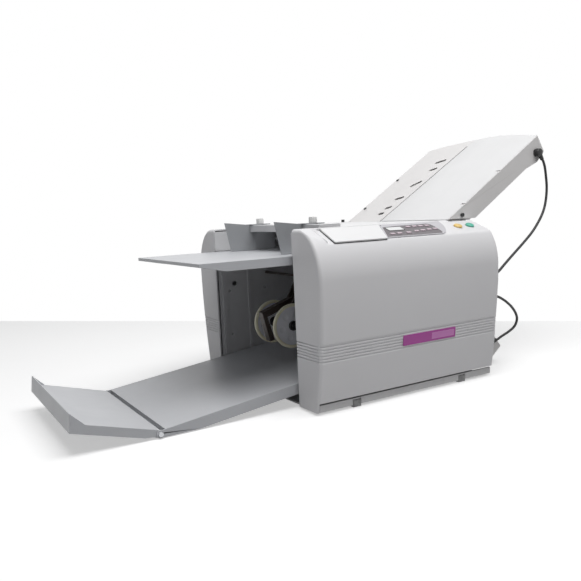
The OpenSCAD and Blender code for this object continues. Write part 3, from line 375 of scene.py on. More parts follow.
def ribbed_tail(base_r, length, ribs):
    """Outline of a tapered strain relief with ribs, from its wide end to the cable."""
    outline = [(base_r, 0)]
    for i in range(ribs):
        r = base_r + (3.9 - base_r) * (i + 0.5) / ribs
        s = length * (i + 0.25) / ribs
        outline += [(r, s), (r, s + length * 0.38 / ribs), (r - 0.9, s + length * 0.45 / ribs),
                    (r - 0.9, s + length * 0.85 / ribs)]
    return outline + [(3.7, length - 0.2), (2.85, length)]


def gland(name, centre, seat, exit_way, node):
    """An elbow gland: a round boss on the plate's side, a domed cap and the ribbed tail."""
    boss = turned(name + "_boss", [(0, -6.0), (6.6, -6.0), (8.0, -5.5), (8.8, -4.2), (9, -2), (9, seat - 1.5),
                                   (8.6, seat - 1.5), (8.6, seat), (0, seat)], centre, (0, 1, 0))
    tail = turned(name + "_tail", [(0, 0)] + ribbed_tail(6.4, TAIL_L, 5) + [(0, TAIL_L)], centre, exit_way)
    ride_as(one_piece(name, [boss, tail]), "machine", black_plastic, [node])


def moulded(name, colour, gloss=0.5, grain_mm=0.05, mottle=0.04):
    """Moulded plastic with a fine spark-eroded skin."""
    finish = Finish(name)
    finish.colour(finish.noise(9, 3), 0.25, 0.75, shade(colour, 1 - mottle), shade(colour, 1 + mottle))
    finish.rough(finish.noise(60, 2), gloss - 0.06, gloss + 0.06)
    finish.grain(finish.noise(1500, 3, 0.6), grain_mm, 0.35)
    return finish.material


black_plastic = moulded("black_fittings", (0.014, 0.014, 0.015), 0.42)
gland("gland_upper", upper_gland, 7, upper_exit, "upper_gland")
gland("gland_lower", lower_gland, 8, lower_exit, "lower_gland")


# Cable plugs and mains inlet
# Round locking plugs stand in the rear end of the near cover, one above the other. The mains inlet is a
# black moulded shroud with three pins, set in the rear panel.
def upright(u, v, w):
    return at(u, w, v)


def prism(name, outline, low, high, place=None):
    """A flat piece: outline is [u, v] in millimetres, from low to high along w; place sets (u, v, w)."""
    place = place or upright
    n = len(outline)
    verts = [place(u, v, low) for u, v in outline] + [place(u, v, high) for u, v in outline]
    faces = [tuple(range(n)), tuple(range(2 * n - 1, n - 1, -1))]
    faces += [(i, (i + 1) % n, n + (i + 1) % n, n + i) for i in range(n)]
    return piece_of(name, verts, faces)


def pierce(piece, cutters, how="DIFFERENCE"):
    for cutter in cutters:
        cut = piece.modifiers.new("cut", "BOOLEAN")
        cut.operation = how
        cut.solver = "EXACT"
        cut.object = cutter
    set_hard(piece)
    for cutter in cutters:
        bpy.data.objects.remove(cutter)
    return piece


def box_at(name, low, high, place=None):
    return prism(name, [(low[0], low[2]), (high[0], low[2]), (high[0], high[2]), (low[0], high[2])],
                 low[1], high[1], place)


plugs = []
for plug_z, proud in ((UPPER_SOCKET_Z, 4.2), (LOWER_SOCKET_Z, 3.1)):
    plugs.append(turned("plug_ring", [(0, 0), (13, 0), (13, 2 + proud), (12.2, 3 + proud), (10.4, 3 + proud),
                                      (9.8, 3.4 + proud)] +
                        [(9.8 if i % 2 else 9.2, 7.4 + 0.75 * i) for i in range(8)] +
                        [(9.3, 13), (8.4, 14)] + [(r, 14 + s) for r, s in ribbed_tail(7, 10, 3)] +
                        [(0, PLUG_L)], at(SOCKET_X - PLUG_L, SOCKET_Y, plug_z), (1, 0, 0)))
REAR = 200
shroud = box_at("shroud", (REAR - 14, 92.4, 40.4), (REAR + 2, 119.6, 59.6))
lip = box_at("inlet_lip", (REAR + 2, 89, 37), (REAR + 4, 123, 63))
inlet = pierce(shroud, [lip], "UNION")
soften(inlet, 0.7, 2)
pierce(inlet, [box_at("inlet_well", (REAR - 12, 94, 42), (REAR + 9, 118, 58))])
pins = [box_at("pin", (REAR - 13, y - 1, z - 3), (REAR - 2, y + 1, z + 3))
        for y, z in ((99, 49), (106, 52), (113, 49))]
ride_as(smooth(one_piece("cable_plugs", plugs + [inlet] + [soften(p, 0.4, 2) for p in pins])), "machine",
        black_plastic, ["rear_sockets"])


# Side covers
# Two deep moulded covers hook over the side frames. Each has a wide rounded shoulder, a face that leans
# in to its foot, soft ends and a band of fine grooves; the near one is cut down for the controls.
FRAME_OUT, COVER_OUT, COVER_H, HALF, REAR_END = 164.5, 249.5, 326, 211, 219
SHOULDER_W, SHOULDER_H, LEAN, FOOT, END_R, WALL = 65, 90, 25, 4, 6.5, 3
GROOVE_FEET, GROOVE_RISE, GROOVE_W, GROOVE_D = [96 + 5.4 * i for i in range(6)], 2, 3, 1.8
PANEL_Y, PANEL_Z, PANEL_TILT, LID_X = 170, 324, radians(21.8), -163
LEFT_RISE, BLEND = radians(13.3), 1.6
FLARE_FROM, FLARE_RUN, FOOT_FLARE, SHOULDER_FLARE = 120, 80, 6, 4


def cover_section():
    """The cover's outside from its inner top edge over the shoulder and down to the foot: [y, z, inward]."""
    top = COVER_H - SHOULDER_H
    line = [(FRAME_OUT + step, COVER_H) for step in (0, 5, 10, 15)]
    for i in range(49):
        a = radians(90 - 90 * i / 48)
        line.append((COVER_OUT - SHOULDER_W + SHOULDER_W * cos(a), top + SHOULDER_H * sin(a)))
    heights = [top - (top - FOOT) * i / 44 for i in range(1, 45)]
    for b in GROOVE_FEET:
        heights = [h for h in heights if not b - 0.5 < h < b + GROOVE_W + 0.5]
        heights += [b, b + GROOVE_RISE, b + GROOVE_W, b + GROOVE_W + 0.05]
    sunk = [b + d for b in GROOVE_FEET for d in (GROOVE_RISE, GROOVE_W)]
    for z in sorted(heights, reverse=True):
        t = (top - z) / (top - FOOT)
        line.append((COVER_OUT - LEAN * t * t - (GROOVE_D if z in sunk else 0), z))
    section = []
    for i, (y, z) in enumerate(line):
        a, b = line[max(i - 1, 0)], line[min(i + 1, len(line) - 1)]
        run = hypot(b[0] - a[0], b[1] - a[1])
        inward = ((b[1] - a[1]) / run, -(b[0] - a[0]) / run)
        if z < top:
            inward = (-1, 0)
        section.append((y, z, inward))
    return section


def rear_flare(x, z):
    """The covers' rear end is waisted: it grows a little longer towards the foot and the shoulder."""
    low = FOOT_FLARE * max(0, (180 - z) / 180)
    high = SHOULDER_FLARE * min(1, max(0, (z - 130) / 70))
    return max(0, min(1, (x - FLARE_FROM) / FLARE_RUN)) * (low + high)


def end_grooves(side):
    """The ribbed band's grooves carried round the front end wall."""
    low, high = (FRAME_OUT - 1, COVER_OUT - 14) if side > 0 else (14 - COVER_OUT, 1 - FRAME_OUT)
    return one_piece("end_grooves", [
        prism("end_groove", [(-HALF - 1, b), (-HALF, b), (-HALF + GROOVE_D, b + GROOVE_RISE),
                             (-HALF + GROOVE_D, b + GROOVE_W), (-HALF - 1, b + GROOVE_W)], low, high)
        for b in GROOVE_FEET])


def cover_shell(name, side):
    """A cover as one skin: the section runs from end to end, and both ends turn in over a soft edge."""
    section = cover_section()
    quarter = [radians(90 * i / 8) for i in range(9)]
    ends = [(END_R * (1 - cos(a)), END_R * (1 - sin(a))) for a in quarter]
    xs = [(-HALF + t, d) for t, d in ends]
    xs += [(-HALF + END_R + (HALF + REAR_END - 2 * END_R) * i / 60, 0) for i in range(1, 60)]
    xs += [(REAR_END - t, d) for t, d in reversed(ends)]
    verts, rows = [], len(section)
    for x, d in xs:
        for y, z, inward in section:
            py, pz = max(y + inward[0] * d, FRAME_OUT), z + inward[1] * d
            if side < 0:
                sunk = (PANEL_Z - (py - PANEL_Y) * tan(PANEL_TILT)
                        + max(0, LID_X - 6 - x) * tan(LEFT_RISE))
                h = max(BLEND - abs(pz - sunk), 0) / BLEND
                pz = min(pz, sunk) - h * h * BLEND / 4 if x > LID_X - 60 else pz
            verts.append(at(x + rear_flare(x, pz), side * py, pz))
    faces = []
    for c in range(len(xs) - 1):
        for r in range(rows - 1):
            a = c * rows + r
            faces.append((a, a + 1, a + rows + 1, a + rows))
    for c in (0, len(xs) - 1):
        foot = len(verts)
        verts.append(at(xs[c][0] + rear_flare(xs[c][0], FOOT), side * FRAME_OUT, FOOT))
        faces.append(tuple(range(c * rows, (c + 1) * rows)) + (foot,))
    shell = piece_of(name, verts, faces)
    normal = Vector((0, 0, 0))
    for p in shell.data.polygons:
        if p.center.z > 0.2:
            normal += p.normal
    if normal.y * side < 0:
        shell.data.flip_normals()
    wall = shell.modifiers.new("wall", "SOLIDIFY")
    wall.thickness = WALL / 1000
    wall.offset = -1
    set_hard(shell)
    y0, y1 = sorted((0, side * (COVER_OUT + 5)))
    skirt = box_at("skirt", (-HALF + WALL, y0, -5), (REAR_END + 12, y1, 22))
    return pierce(shell, [skirt, end_grooves(side)])


cover_grey = moulded("cover_plastic", (0.80, 0.795, 0.81), 0.46, 0.05, 0.012)
far_cover = cover_shell("cover_far", 1)
ride_as(smooth(far_cover, 25), "machine", cover_grey, ["far_side_cover"])

near_cover = cover_shell("cover_near", -1)


def on_panel(x, v, n):
    """A place on the control panel: v down its slope from its top edge, n square to it."""
    return at(x, -PANEL_Y - v * cos(PANEL_TILT) - n * sin(PANEL_TILT),
              PANEL_Z - v * sin(PANEL_TILT) + n * cos(PANEL_TILT))


def panel_place(u, v, w):
    return on_panel(u, -v, w)


panel_up = Vector((0, -sin(PANEL_TILT), cos(PANEL_TILT)))
LID_END, LID_SLANT, LID_V, LID_W = -24, 26, 4.4, 60


def lid_edge(v):
    return LID_END - LID_SLANT * (v - LID_V) / LID_W


STOP_X, START_X, BUTTON_V, BUTTON_R = 158, 191, 33, 9
LID_EDGE = [(-158.5, -4.4), (-165.5, -66.4), (-50, -66.4), (-24, -4.4)]
cuts = [prism("lid_seat", [(-160, -2.8), (-167.6, -68.4), (-51, -68.4), (-24.6, -2.8)], -1.3, 9, panel_place),
        prism("lid_ledge", [(-171, -1), (-180, -74), (-53, -74), (-25.5, -1)], -0.45, 9, panel_place),
        prism("key_window", [(lid_edge(8) + 4, -8), (100, -8), (100, -60), (lid_edge(60) + 4, -60)], -12, 8,
              panel_place)]
for x in (STOP_X, START_X):
    cuts.append(turned("button_bore", [(BUTTON_R + 0.5, -10), (BUTTON_R + 0.5, 10)], on_panel(x, BUTTON_V, 0),
                       panel_up))
PLATE_SEAT_X, PLATE_SEAT_Z, SEAT_DEPTH = 38, 111, 0.6
seat_t = (COVER_H - SHOULDER_H - PLATE_SEAT_Z) / (COVER_H - SHOULDER_H - FOOT)
SEAT_LEAN = atan2(2 * LEAN * seat_t, COVER_H - SHOULDER_H - FOOT)
SEAT_Y = COVER_OUT - LEAN * seat_t * seat_t - SEAT_DEPTH


def on_name_plate(u, v, w):
    """A place on the name plate's seat: u along the machine, v up the face, w out of it."""
    return at(PLATE_SEAT_X + u, -SEAT_Y - w * cos(SEAT_LEAN) - v * sin(SEAT_LEAN),
              PLATE_SEAT_Z + v * cos(SEAT_LEAN) - w * sin(SEAT_LEAN))


cuts.append(box_at("name_seat", (-66.4, 0, -10.4), (66.4, 6, 10.4), on_name_plate))
pierce(near_cover, cuts)
ride_as(smooth(near_cover, 25), "machine", cover_grey, ["near_side_cover"])


# Name plate
# A thin magenta moulding lies in a shallow seat on the ribbed band. Its right half carries a paler label
# field, left bare.
def rounded(width, height, r, steps=5):
    """A rectangle about the origin with round corners."""
    outline = []
    for cx, cy, start in ((1, 1, 0), (-1, 1, 90), (-1, -1, 180), (1, -1, 270)):
        for i in range(steps + 1):
            a = radians(start + 90 * i / steps)
            outline.append((cx * (width / 2 - r) + r * cos(a), cy * (height / 2 - r) + r * sin(a)))
    return outline


def shifted(outline, u, v):
    return [(a + u, b + v) for a, b in outline]


magenta = moulded("magenta_plate", (0.46, 0.055, 0.36), 0.32, 0.01, 0.06)
label_pink = moulded("label_pink", (0.68, 0.24, 0.60), 0.4, 0.01, 0.05)
name_back = soften(prism("name_plate", rounded(132, 20, 2), 0, 1.5, on_name_plate), 0.4)
ride_as(smooth(name_back), "machine", magenta, ["name_plate"])
label_edge = shifted(rounded(58, 13, 1.5), 33, 0)
label = soften(prism("name_plate_field", label_edge, 1.3, 1.65, on_name_plate), 0.12, 2)
ride_as(smooth(label), "machine", label_pink)


# Base pan and feet
# A folded sheet steel pan closes the underside and carries everything; its turned-up lips show under the
# covers. Four moulded rubber feet stand in notches of the lips.
def painted(name, colour, gloss=0.42, mottle=0.03):
    """Baked powder coat: an even colour with a faint cloud, a fine orange peel and a few dull patches."""
    finish = Finish(name)
    finish.colour(finish.noise(14, 4), 0.3, 0.75, shade(colour, 1 - mottle), shade(colour, 1 + mottle))
    finish.rough(finish.noise(38, 3), gloss - 0.07, gloss + 0.09)
    finish.grain(finish.noise(850, 2, 0.45), 0.035, 0.3)
    return finish.material


def dress(node, finish, edge_mm=0.0, steps=2):
    """Gives a CAD node its finish, and rounds its sharp edges without touching its mesh."""
    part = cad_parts[node]
    for place in part.material_slots:
        place.material = finish
    if edge_mm:
        weld = part.modifiers.new("weld", "WELD")
        weld.merge_threshold = 0.00001
        bevel = part.modifiers.new("soft_edges", "BEVEL")
        bevel.width = edge_mm / 1000
        bevel.segments = steps
        bevel.limit_method = "ANGLE"
        bevel.angle_limit = radians(40)


FOOT_X, FOOT_LEN, PAN_HALF_W, PAN_FRONT, LIP_REAR, LIP_Z = (-123, 141), 18, 222, -205, 223, 17.5
pan = [box_at("pan_floor", (PAN_FRONT, -PAN_HALF_W + 3, 4), (205, PAN_HALF_W - 3, 7))]
for side in (-1, 1):
    y0, y1 = sorted((side * (PAN_HALF_W - 4), side * PAN_HALF_W))
    notches = [x + d for x in FOOT_X for d in (-FOOT_LEN / 2 - 0.4, FOOT_LEN / 2 + 0.4)]
    stops = [PAN_FRONT] + notches + [LIP_REAR]
    for x0, x1 in zip(stops[::2], stops[1::2]):
        pan.append(soften(box_at("pan_lip", (x0, y0, 4), (x1, y1, LIP_Z)), 1.2))
    y0, y1 = sorted((side * (PAN_HALF_W - 4), side * (PAN_HALF_W - 2)))
    pan.append(box_at("pan_edge", (PAN_FRONT, y0, 12), (LIP_REAR, y1, LIP_Z - 1)))
pan_paint = painted("pan_paint", (0.80, 0.795, 0.80))
ride_as(smooth(one_piece("base_pan", pan), 40), "machine", pan_paint, ["base_pan"])
dress("rubber_feet", rubber("foot_rubber", (0.3, 0.3, 0.302)), 1.0)


# Side frames, tie bars and bridge
# Two pressed steel plates stand on the pan and hold every shaft. Square bars join them, and a flat strip
# bridges them behind the top cover. Slotted screws fix the bars through the plates.
def steel(name, colour, gloss=0.3, brush=(4, 400, 400), strength=0.25):
    """Plain or plated metal with a fine drawn grain along one way of the machine."""
    finish = Finish(name)
    stretch = finish.node("Mapping")
    stretch.inputs["Scale"].default_value = brush
    finish.links.new(finish.place, stretch.inputs["Vector"])
    drawn = finish.node("TexNoise")
    drawn.inputs["Scale"].default_value = 6
    drawn.inputs["Detail"].default_value = 4
    finish.links.new(stretch.outputs[0], drawn.inputs["Vector"])
    finish.colour(drawn.outputs["Fac"], 0.25, 0.75, shade(colour, 0.82), shade(colour, 1.15))
    finish.rough(drawn.outputs["Fac"], gloss - 0.08, gloss + 0.12)
    finish.grain(drawn.outputs["Fac"], 0.03, strength)
    finish.shader.inputs["Metallic"].default_value = 1.0
    return finish.material


frame_grey = painted("frame_paint", (0.56, 0.56, 0.57), 0.5)
zinc = steel("zinc_plate", (0.55, 0.56, 0.58), 0.34, (400, 4, 400))
for node in ("near_side_frame", "far_side_frame"):
    dress(node, frame_grey, 0.5)
dress("tie_bars", zinc, 0.8)


def pan_screw(name, place, way, r=3.2):
    """A pan head screw with a slot across it."""
    head = turned(name, [(0, 0), (r, 0), (r, 0.7), (r * 0.92, 1.5), (r * 0.7, 2.1), (r * 0.35, 2.4),
                         (0, 2.5)], place, way, 24)
    turn = Vector((0, 0, 1)).rotation_difference(Vector(way).normalized()).to_matrix()

    def across_head(u, v, w):
        return Vector(place) + turn @ Vector((u, w, v)) / 1000

    return pierce(head, [box_at("slot", (-0.45, -r, 1.5), (0.45, r, 4), across_head)])


FRAME_IN, LIT_WALL_LOW, LIT_WALL_HIGH = 161.5, 279, 320
inner_screws = []
for side in (-1, 1):
    for x, z in ((-157, 269), (-33, 269), (-80, 46), (63, 63), (157, 31)):
        inner_screws.append(pan_screw("frame_screw", at(x, side * FRAME_IN, z), (0, -side, 0)))
# Pale plates over the frames' inner faces above the table: painted light for the lit upper wall there.
lit_wall_plates = []
for side in (-1, 1):
    y0, y1 = sorted((side * FRAME_IN, side * (FRAME_IN - 0.8)))
    lit_wall_plate = box_at("lit_wall_plate", (-203, y0, LIT_WALL_LOW), (-104, y1, LIT_WALL_HIGH))
    hole = turned("wall_plate_hole", [(0, -3), (2.5, -3), (2.5, 3), (0, 3)], at(-120, side * FRAME_IN, 298),
                  (0, 1, 0), 24)
    lit_wall_plates.append(soften(pierce(lit_wall_plate, [hole]), 0.25, 2))
    y0, y1 = sorted((side * (FRAME_IN - 0.8), side * (FRAME_OUT - 0.1)))
    edge = box_at("lit_wall_edge", (-210.5, y0, LIT_WALL_LOW), (-203, y1, LIT_WALL_HIGH))
    lit_wall_plates.append(soften(edge, 0.4, 2))
ride_as(smooth(one_piece("frame_screws", inner_screws)), "machine", zinc)
ride_as(one_piece("throat_painted_light", lit_wall_plates), "machine", painted("wall_painted_light", (0.70, 0.70, 0.71)))


# Rear panel and power switch
# A folded panel closes the rear between the frames, with vent slots low down, the mains inlet and a small
# black rocker switch. Six screws hold it to the frames.
dress("rear_panel", painted("panel_paint", (0.62, 0.61, 0.61)), 0.3)
rear_screws = [pan_screw("rear_screw", at(REAR + 2, side * 152, z), (1, 0, 0))
               for side in (-1, 1) for z in (16, 100, 176)]
ride_as(smooth(one_piece("rear_screws", rear_screws)), "machine", zinc)
dress("power_switch", black_plastic, 0.5)


# Feed table
# One folded steel sheet with a turned-down lip, painted light blue-grey. It rests on two of the bars, and
# a brown friction pad stands in its window under the feed roller.
tray_paint = painted("tray_paint", (0.56, 0.57, 0.595), 0.38, 0.025)
dress("feed_table", tray_paint, 0.7)
dress("separator_pad", rubber("pad_rubber", (0.12, 0.07, 0.04)), 0.3)


# Guide bar and side guides
# A painted channel spans the frames. Two bent cheeks hang on it from saddles, and a fluted white knob
# clamps each in its slot.
bar_white = painted("bar_paint", (0.74, 0.74, 0.75), 0.4, 0.02)
dress("guide_bar", bar_white, 0.9, 3)
guide_grey = painted("guide_paint", (0.36, 0.37, 0.385), 0.42)
for node in ("side_guide_near", "side_guide_far"):
    dress(node, guide_grey, 0.4)

BAR_TOP = 332
knob_white = moulded("knob_plastic", (0.82, 0.82, 0.81), 0.35, 0.01, 0.02)


def fluted(name, profile, place, flutes, depth, steps=96):
    """A turned piece about an upright axis whose outer rings are scalloped for the fingers."""
    piece = turned(name, profile, (0, 0, 0), (0, 0, 1), steps)
    widest = max(r for r, z in profile)
    for vert in piece.data.vertices:
        r = hypot(vert.co.x, vert.co.y)
        if r * 1000 > widest - 1.2:
            a = atan2(vert.co.y, vert.co.x)
            k = 1 - depth / 1000 / r * max(0, cos(flutes * a)) ** 2
            vert.co.x, vert.co.y = vert.co.x * k, vert.co.y * k
    piece.data.transform(Matrix.Translation(place))
    return piece


for side, where in ((1, "far"), (-1, "near")):
    foot = at(-126, side * 105, BAR_TOP + 2.3)
    cap = fluted("knob_cap", [(0, 0), (7, 0), (8, 0.8), (8, 9.8), (7.7, 10.9), (6.9, 11.6), (5.4, 12),
                              (4.6, 11.6), (0, 11.4)], foot, 12, 0.9)
    screw = turned("knob_screw", [(0, -10), (2.1, -10), (2.4, -9.5), (2.4, -1.2), (3, -1.2), (3, 0.8),
                                  (0, 0.8)], foot, (0, 0, 1), 32)
    ride_as(one_piece("knob_" + where, [cap, screw]), f"guide_knob_{where}_body", knob_white,
            [f"guide_knob_{where}"])


# Top cover
# A flat painted lid lies over the feed and fold rollers, between the side covers. It is hinged on two pins
# between the frames at its rear edge.
cover_white = painted("cover_paint", (0.77, 0.77, 0.78), 0.36, 0.015)
dress("top_cover", cover_white, 0.8, 3)


# Control panel
# A grey moulded fascia lies over the window in the near cover, with a rounded right end. Its sunk, darker
# field holds eleven rubber keys, and a white display window stands near the lid.
def key_slot(k, grow):
    return shifted(rounded(11 + 2 * grow, 6 + 2 * grow, 1.2, 3), k[0], -k[1])


def key_holes():
    return [prism("key_hole", key_slot(k, 0.4), -2, 6, panel_place) for k in KEYS]


def display_edge(width, height, r):
    return shifted(rounded(width, height, r), -1, -26)


KEYS = [(-23, 48), (-6, 47.5), (17, 47)] + [(36 + 16 * i, 21) for i in range(4)] + \
       [(40 + 17 * i, 43 - 1.5 * i) for i in range(4)]
round_end = [(45 + 86 * cos(a), 7 + 86 * sin(a)) for a in
             [atan2(-63, 58.5) + (atan2(-10, 85.4) - atan2(-63, 58.5)) * i / 14 for i in range(15)]]
fascia_edge = [(lid_edge(63) + 1.5, -63), (92, -63)] + round_end + [(-19.1, -3), (-19.1, -8.3),
                                                                       (lid_edge(8.3) + 1.5, -8.3)]
field_edge = [(lid_edge(60.5) + 4, -60.5), (91, -60.5), (96, -54), (99, -34), (97, -16), (90, -12.5),
              (10, -14), (lid_edge(17) + 6, -17)]
fascia = prism("panel_fascia", fascia_edge, 0, 2, panel_place)
pierce(fascia, [prism("field_seat", field_edge, 1.2, 5, panel_place)] + key_holes())
fascia_grey = moulded("fascia_plastic", (0.55, 0.54, 0.57), 0.42, 0.04, 0.02)
ride_as(smooth(soften(fascia, 0.45)), "machine", fascia_grey, ["control_panel"])
field = pierce(prism("key_field", [(u * 0.998, v * 0.998) for u, v in field_edge], 1.0, 1.5, panel_place),
               key_holes())
ride_as(field, "machine", moulded("key_field", (0.155, 0.14, 0.15), 0.5, 0.06, 0.05))

display = soften(prism("display_window", display_edge(36, 14, 1.2), 1.1, 2.4, panel_place), 0.35)
ride_as(smooth(display), "machine", moulded("display_glass", (0.84, 0.85, 0.85), 0.14, 0.005, 0.015),
        ["display_window"])
glass_edge = pierce(prism("display_frame", display_edge(38.4, 16.4, 1.8), 1.2, 2.15, panel_place),
                    [prism("display_hole", display_edge(36.2, 14.2, 1.2), 0, 4, panel_place)])
ride_as(smooth(soften(glass_edge, 0.15, 2)), "machine", black_plastic)

key_pink = moulded("key_rubber", (0.60, 0.50, 0.55), 0.55, 0.03, 0.04)
for i, k in enumerate(KEYS):
    cap = soften(prism(f"key_cap_{i + 1}", key_slot(k, 0), 0.3, 2.9, panel_place), 0.8, 4)
    ride_as(smooth(cap, 60), f"key_{i + 1}_body", key_pink, [f"key_{i + 1}"])
dress("control_board", moulded("board_green", (0.05, 0.2, 0.085), 0.4, 0.02, 0.15))


# Start and stop buttons
# Two round moulded buttons stand side by side in bores of the near cover, the left one yellow and the
# right one green, each in a thin collar.
for name, x, colour, node, slot in (
        ("stop_cap", STOP_X, (0.86, 0.60, 0.19), "stop_button", "yellow_plastic"),
        ("start_cap", START_X, (0.10, 0.50, 0.37), "start_button", "teal_plastic")):
    cap = turned(name, [(0, -5), (8.2, -5), (8.7, -4.6), (8.7, 2.2), (8.4, 3.2), (7.4, 4.0), (5.6, 4.6),
                        (3, 4.9), (0, 5)], on_panel(x, BUTTON_V, 0), panel_up, 64)
    ride_as(cap, f"{node}_body", moulded(slot, colour, 0.3, 0.01, 0.03), [node])
collars = [turned("collar", [(9.3, -2.5), (10.6, -2.5), (10.6, 0.35), (10.2, 0.7), (9.6, 0.7), (9.3, 0.4),
                             (9.3, -2.5)], on_panel(x, BUTTON_V, 0), panel_up, 64)
           for x in (STOP_X, START_X)]
ride_as(one_piece("button_collars", collars), "machine", cover_grey)


# Foot slot of the plate
# A narrow black strip lies in the near cover's top, beside the foot of the upper fold plate. Its black is
# painted shade for the slot there. What it is on the real machine can't be told from one side.
# Black strip painted as the shade inside the slot at the plate's foot.
slot_shade_edge = shifted(rounded(50, 1.6, 0.7, 3), 184, -3.6)
strip = soften(prism("foot_slot_painted_shade", slot_shade_edge, -0.5, 0.35, panel_place), 0.15, 2)
ride_as(smooth(strip), "machine", black_plastic)


# Panel lid
# A white moulded flap over the left part of the panel. It lifts on two stubs at its upper edge. The small
# eyes that hold them in the cover aren't shown. A thin black strip along its left and front edges is painted
# shade for the dark gap round its seat.
LID_AXIS_V, LID_AXIS_N = 5.2, 2.4
lid_white = moulded("lid_plastic", (0.84, 0.84, 0.845), 0.34, 0.02, 0.012)
flap = soften(prism("lid_flap", LID_EDGE, 0.3, 3.3, panel_place), 0.9, 4)
barrel = turned("lid_barrel", [(0, 0), (1.5, 0), (1.6, 0.3), (1.6, 138.7), (1.5, 139), (0, 139)],
                on_panel(LID_X, LID_AXIS_V, LID_AXIS_N), (1, 0, 0), 24)
stubs = turned("lid_stubs", [(0, 0), (0.8, 0), (1, 0.3), (1, 146.3), (0.8, 146.6), (0, 146.6)],
               on_panel(LID_X - 3.8, LID_AXIS_V, LID_AXIS_N), (1, 0, 0), 24)
# The black strip is painted shade, standing for the dark gap at the lid's left and front edges.
gap_shade_edge = [(-158.4, -3.4), (-166.3, -66.5), (-50.4, -66.5), (-50, -66), (-165, -66), (-157.5, -3.4)]
gap_shade = soften(prism("lid_gap_painted_shade", gap_shade_edge, -0.3, 0.3, panel_place), 0.1, 2)
ride_as(gap_shade, "machine", black_plastic)
ride_as(smooth(one_piece("panel_lid", [flap, barrel, stubs]), 40), "panel_lid_body", lid_white, ["panel_lid"])


# Rollers, bearings and drive
# Ground rubber sleeves on steel shafts run in flanged ball bearings. Steel gears on the near side turn the
# four fold rollers together, and a belt from the motor's pulley drives the middle one.
def sleeved(name, sleeve, shaft, half_mm):
    """Rubber within half_mm of the middle, bare steel beyond it."""
    finish = Finish(name)
    split = finish.node("SeparateXYZ")
    finish.links.new(finish.place, split.inputs[0])
    off = finish.node("Math", operation="ABSOLUTE")
    finish.links.new(split.outputs["Y"], off.inputs[0])
    bare = finish.node("Math", operation="GREATER_THAN")
    bare.inputs[1].default_value = half_mm / 1000
    finish.links.new(off.outputs[0], bare.inputs[0])
    blend = finish.node("Mix", data_type="RGBA")
    finish.links.new(bare.outputs[0], blend.inputs["Factor"])
    finish.links.new(finish.ramp(finish.noise(400, 3), 0.3, 0.7, shade(sleeve, 0.8), shade(sleeve, 1.2)),
                     blend.inputs[6])
    finish.links.new(finish.ramp(finish.noise(90, 3), 0.3, 0.7, shade(shaft, 0.85), shade(shaft, 1.1)),
                     blend.inputs[7])
    finish.links.new(blend.outputs[2], finish.shader.inputs["Base Color"])
    finish.links.new(bare.outputs[0], finish.shader.inputs["Metallic"])
    gloss = finish.node("MapRange")
    gloss.inputs["To Min"].default_value = 0.62
    gloss.inputs["To Max"].default_value = 0.28
    finish.links.new(bare.outputs[0], gloss.inputs["Value"])
    finish.links.new(gloss.outputs[0], finish.shader.inputs["Roughness"])
    finish.grain(finish.noise(1100, 2), 0.02, 0.3)
    return finish.material


roller_finish = sleeved("roller_rubber", (0.065, 0.065, 0.07), (0.55, 0.56, 0.58), 150.2)
for i in range(1, 5):
    dress(f"fold_roller_{i}", roller_finish)
dress("feed_roller", sleeved("feed_rubber", (0.05, 0.045, 0.045), (0.55, 0.56, 0.58), 30.2))
dress("roller_bearings", steel("bearing_steel", (0.62, 0.62, 0.64), 0.22, (60, 60, 60), 0.1))
dress("drive_motor", painted("motor_enamel", (0.10, 0.10, 0.11), 0.4, 0.08))
dress("motor_pulley", steel("pulley_alloy", (0.66, 0.67, 0.69), 0.3, (300, 300, 6)))
dress("drive_belt", rubber("belt_rubber", (0.02, 0.02, 0.02)))
dress("exit_chute", steel("chute_steel", (0.40, 0.41, 0.43), 0.36, (4, 400, 4)), 0.4)


# Upper fold plate
# A folded and painted steel casing rises out of the machine, open at the rollers and bowed at its end. A
# strip along its far side has slanting slots; the stop inside it travels on a screw.
PLATE_L, PLATE_HALF, PLATE_T, PLATE_BOW = 319, 172, 41, 24
BOW_R = (PLATE_HALF ** 2 + PLATE_BOW ** 2) / (2 * PLATE_BOW)
NECK_S, NECK_HALF = -34.9, 160.5


def upper_place(u, v, w):
    return on_upper(u, w, v)


def bowed_plan(inset, start=-200, corner=7):
    """Plan of the plate: straight sides, a bowed end and round corners."""
    w, r = PLATE_HALF - inset, BOW_R - inset
    centre = PLATE_L + PLATE_BOW - BOW_R
    reach = asin((w - corner * 0.75) / r)
    arc = [(centre + r * cos(reach * k / 30), r * sin(reach * k / 30)) for k in range(-30, 31)]
    tip = centre + r * cos(reach)
    right = [(tip - corner * 0.9, -w), (tip - corner * 0.45, -w + 0.5), (tip - corner * 0.12, -w + 2.2)]
    return [(start, -w)] + right + arc + [(u, -v) for u, v in reversed(right)] + [(start, w)]


def plate_body(name, inset):
    outline = [(NECK_S - 1, -inset), (PLATE_L + 60, -inset), (PLATE_L + 60, -PLATE_T + inset + 1),
               (PLATE_L + 1, -PLATE_T + inset + 1), (PLATE_L - 34, -PLATE_T - 7 + inset),
               (PLATE_L - 74, -PLATE_T + inset), (NECK_S - 1, -PLATE_T + inset)]
    body = prism(name, outline, -PLATE_HALF, PLATE_HALF, upper_place)
    pierce(body, [prism("plan", bowed_plan(inset), -70, 30, on_upper)], "INTERSECT")
    room = box_at("above", (0, -200, COVER_H + 0.3 + inset), (600, 200, 726))
    pierce(room, [box_at("neck", (0, -NECK_HALF + inset, 1), (600, NECK_HALF - inset, 600))], "UNION")
    return pierce(body, [room], "INTERSECT")


SLOTS = [((20, 86), (24, 67)), ((42, 84), (52, 65)), ((82, 86), (92, 60)), ((137, 82), (162, 60)),
         ((209, 79), (219, 57)), ((245, 90), (256, 58))]


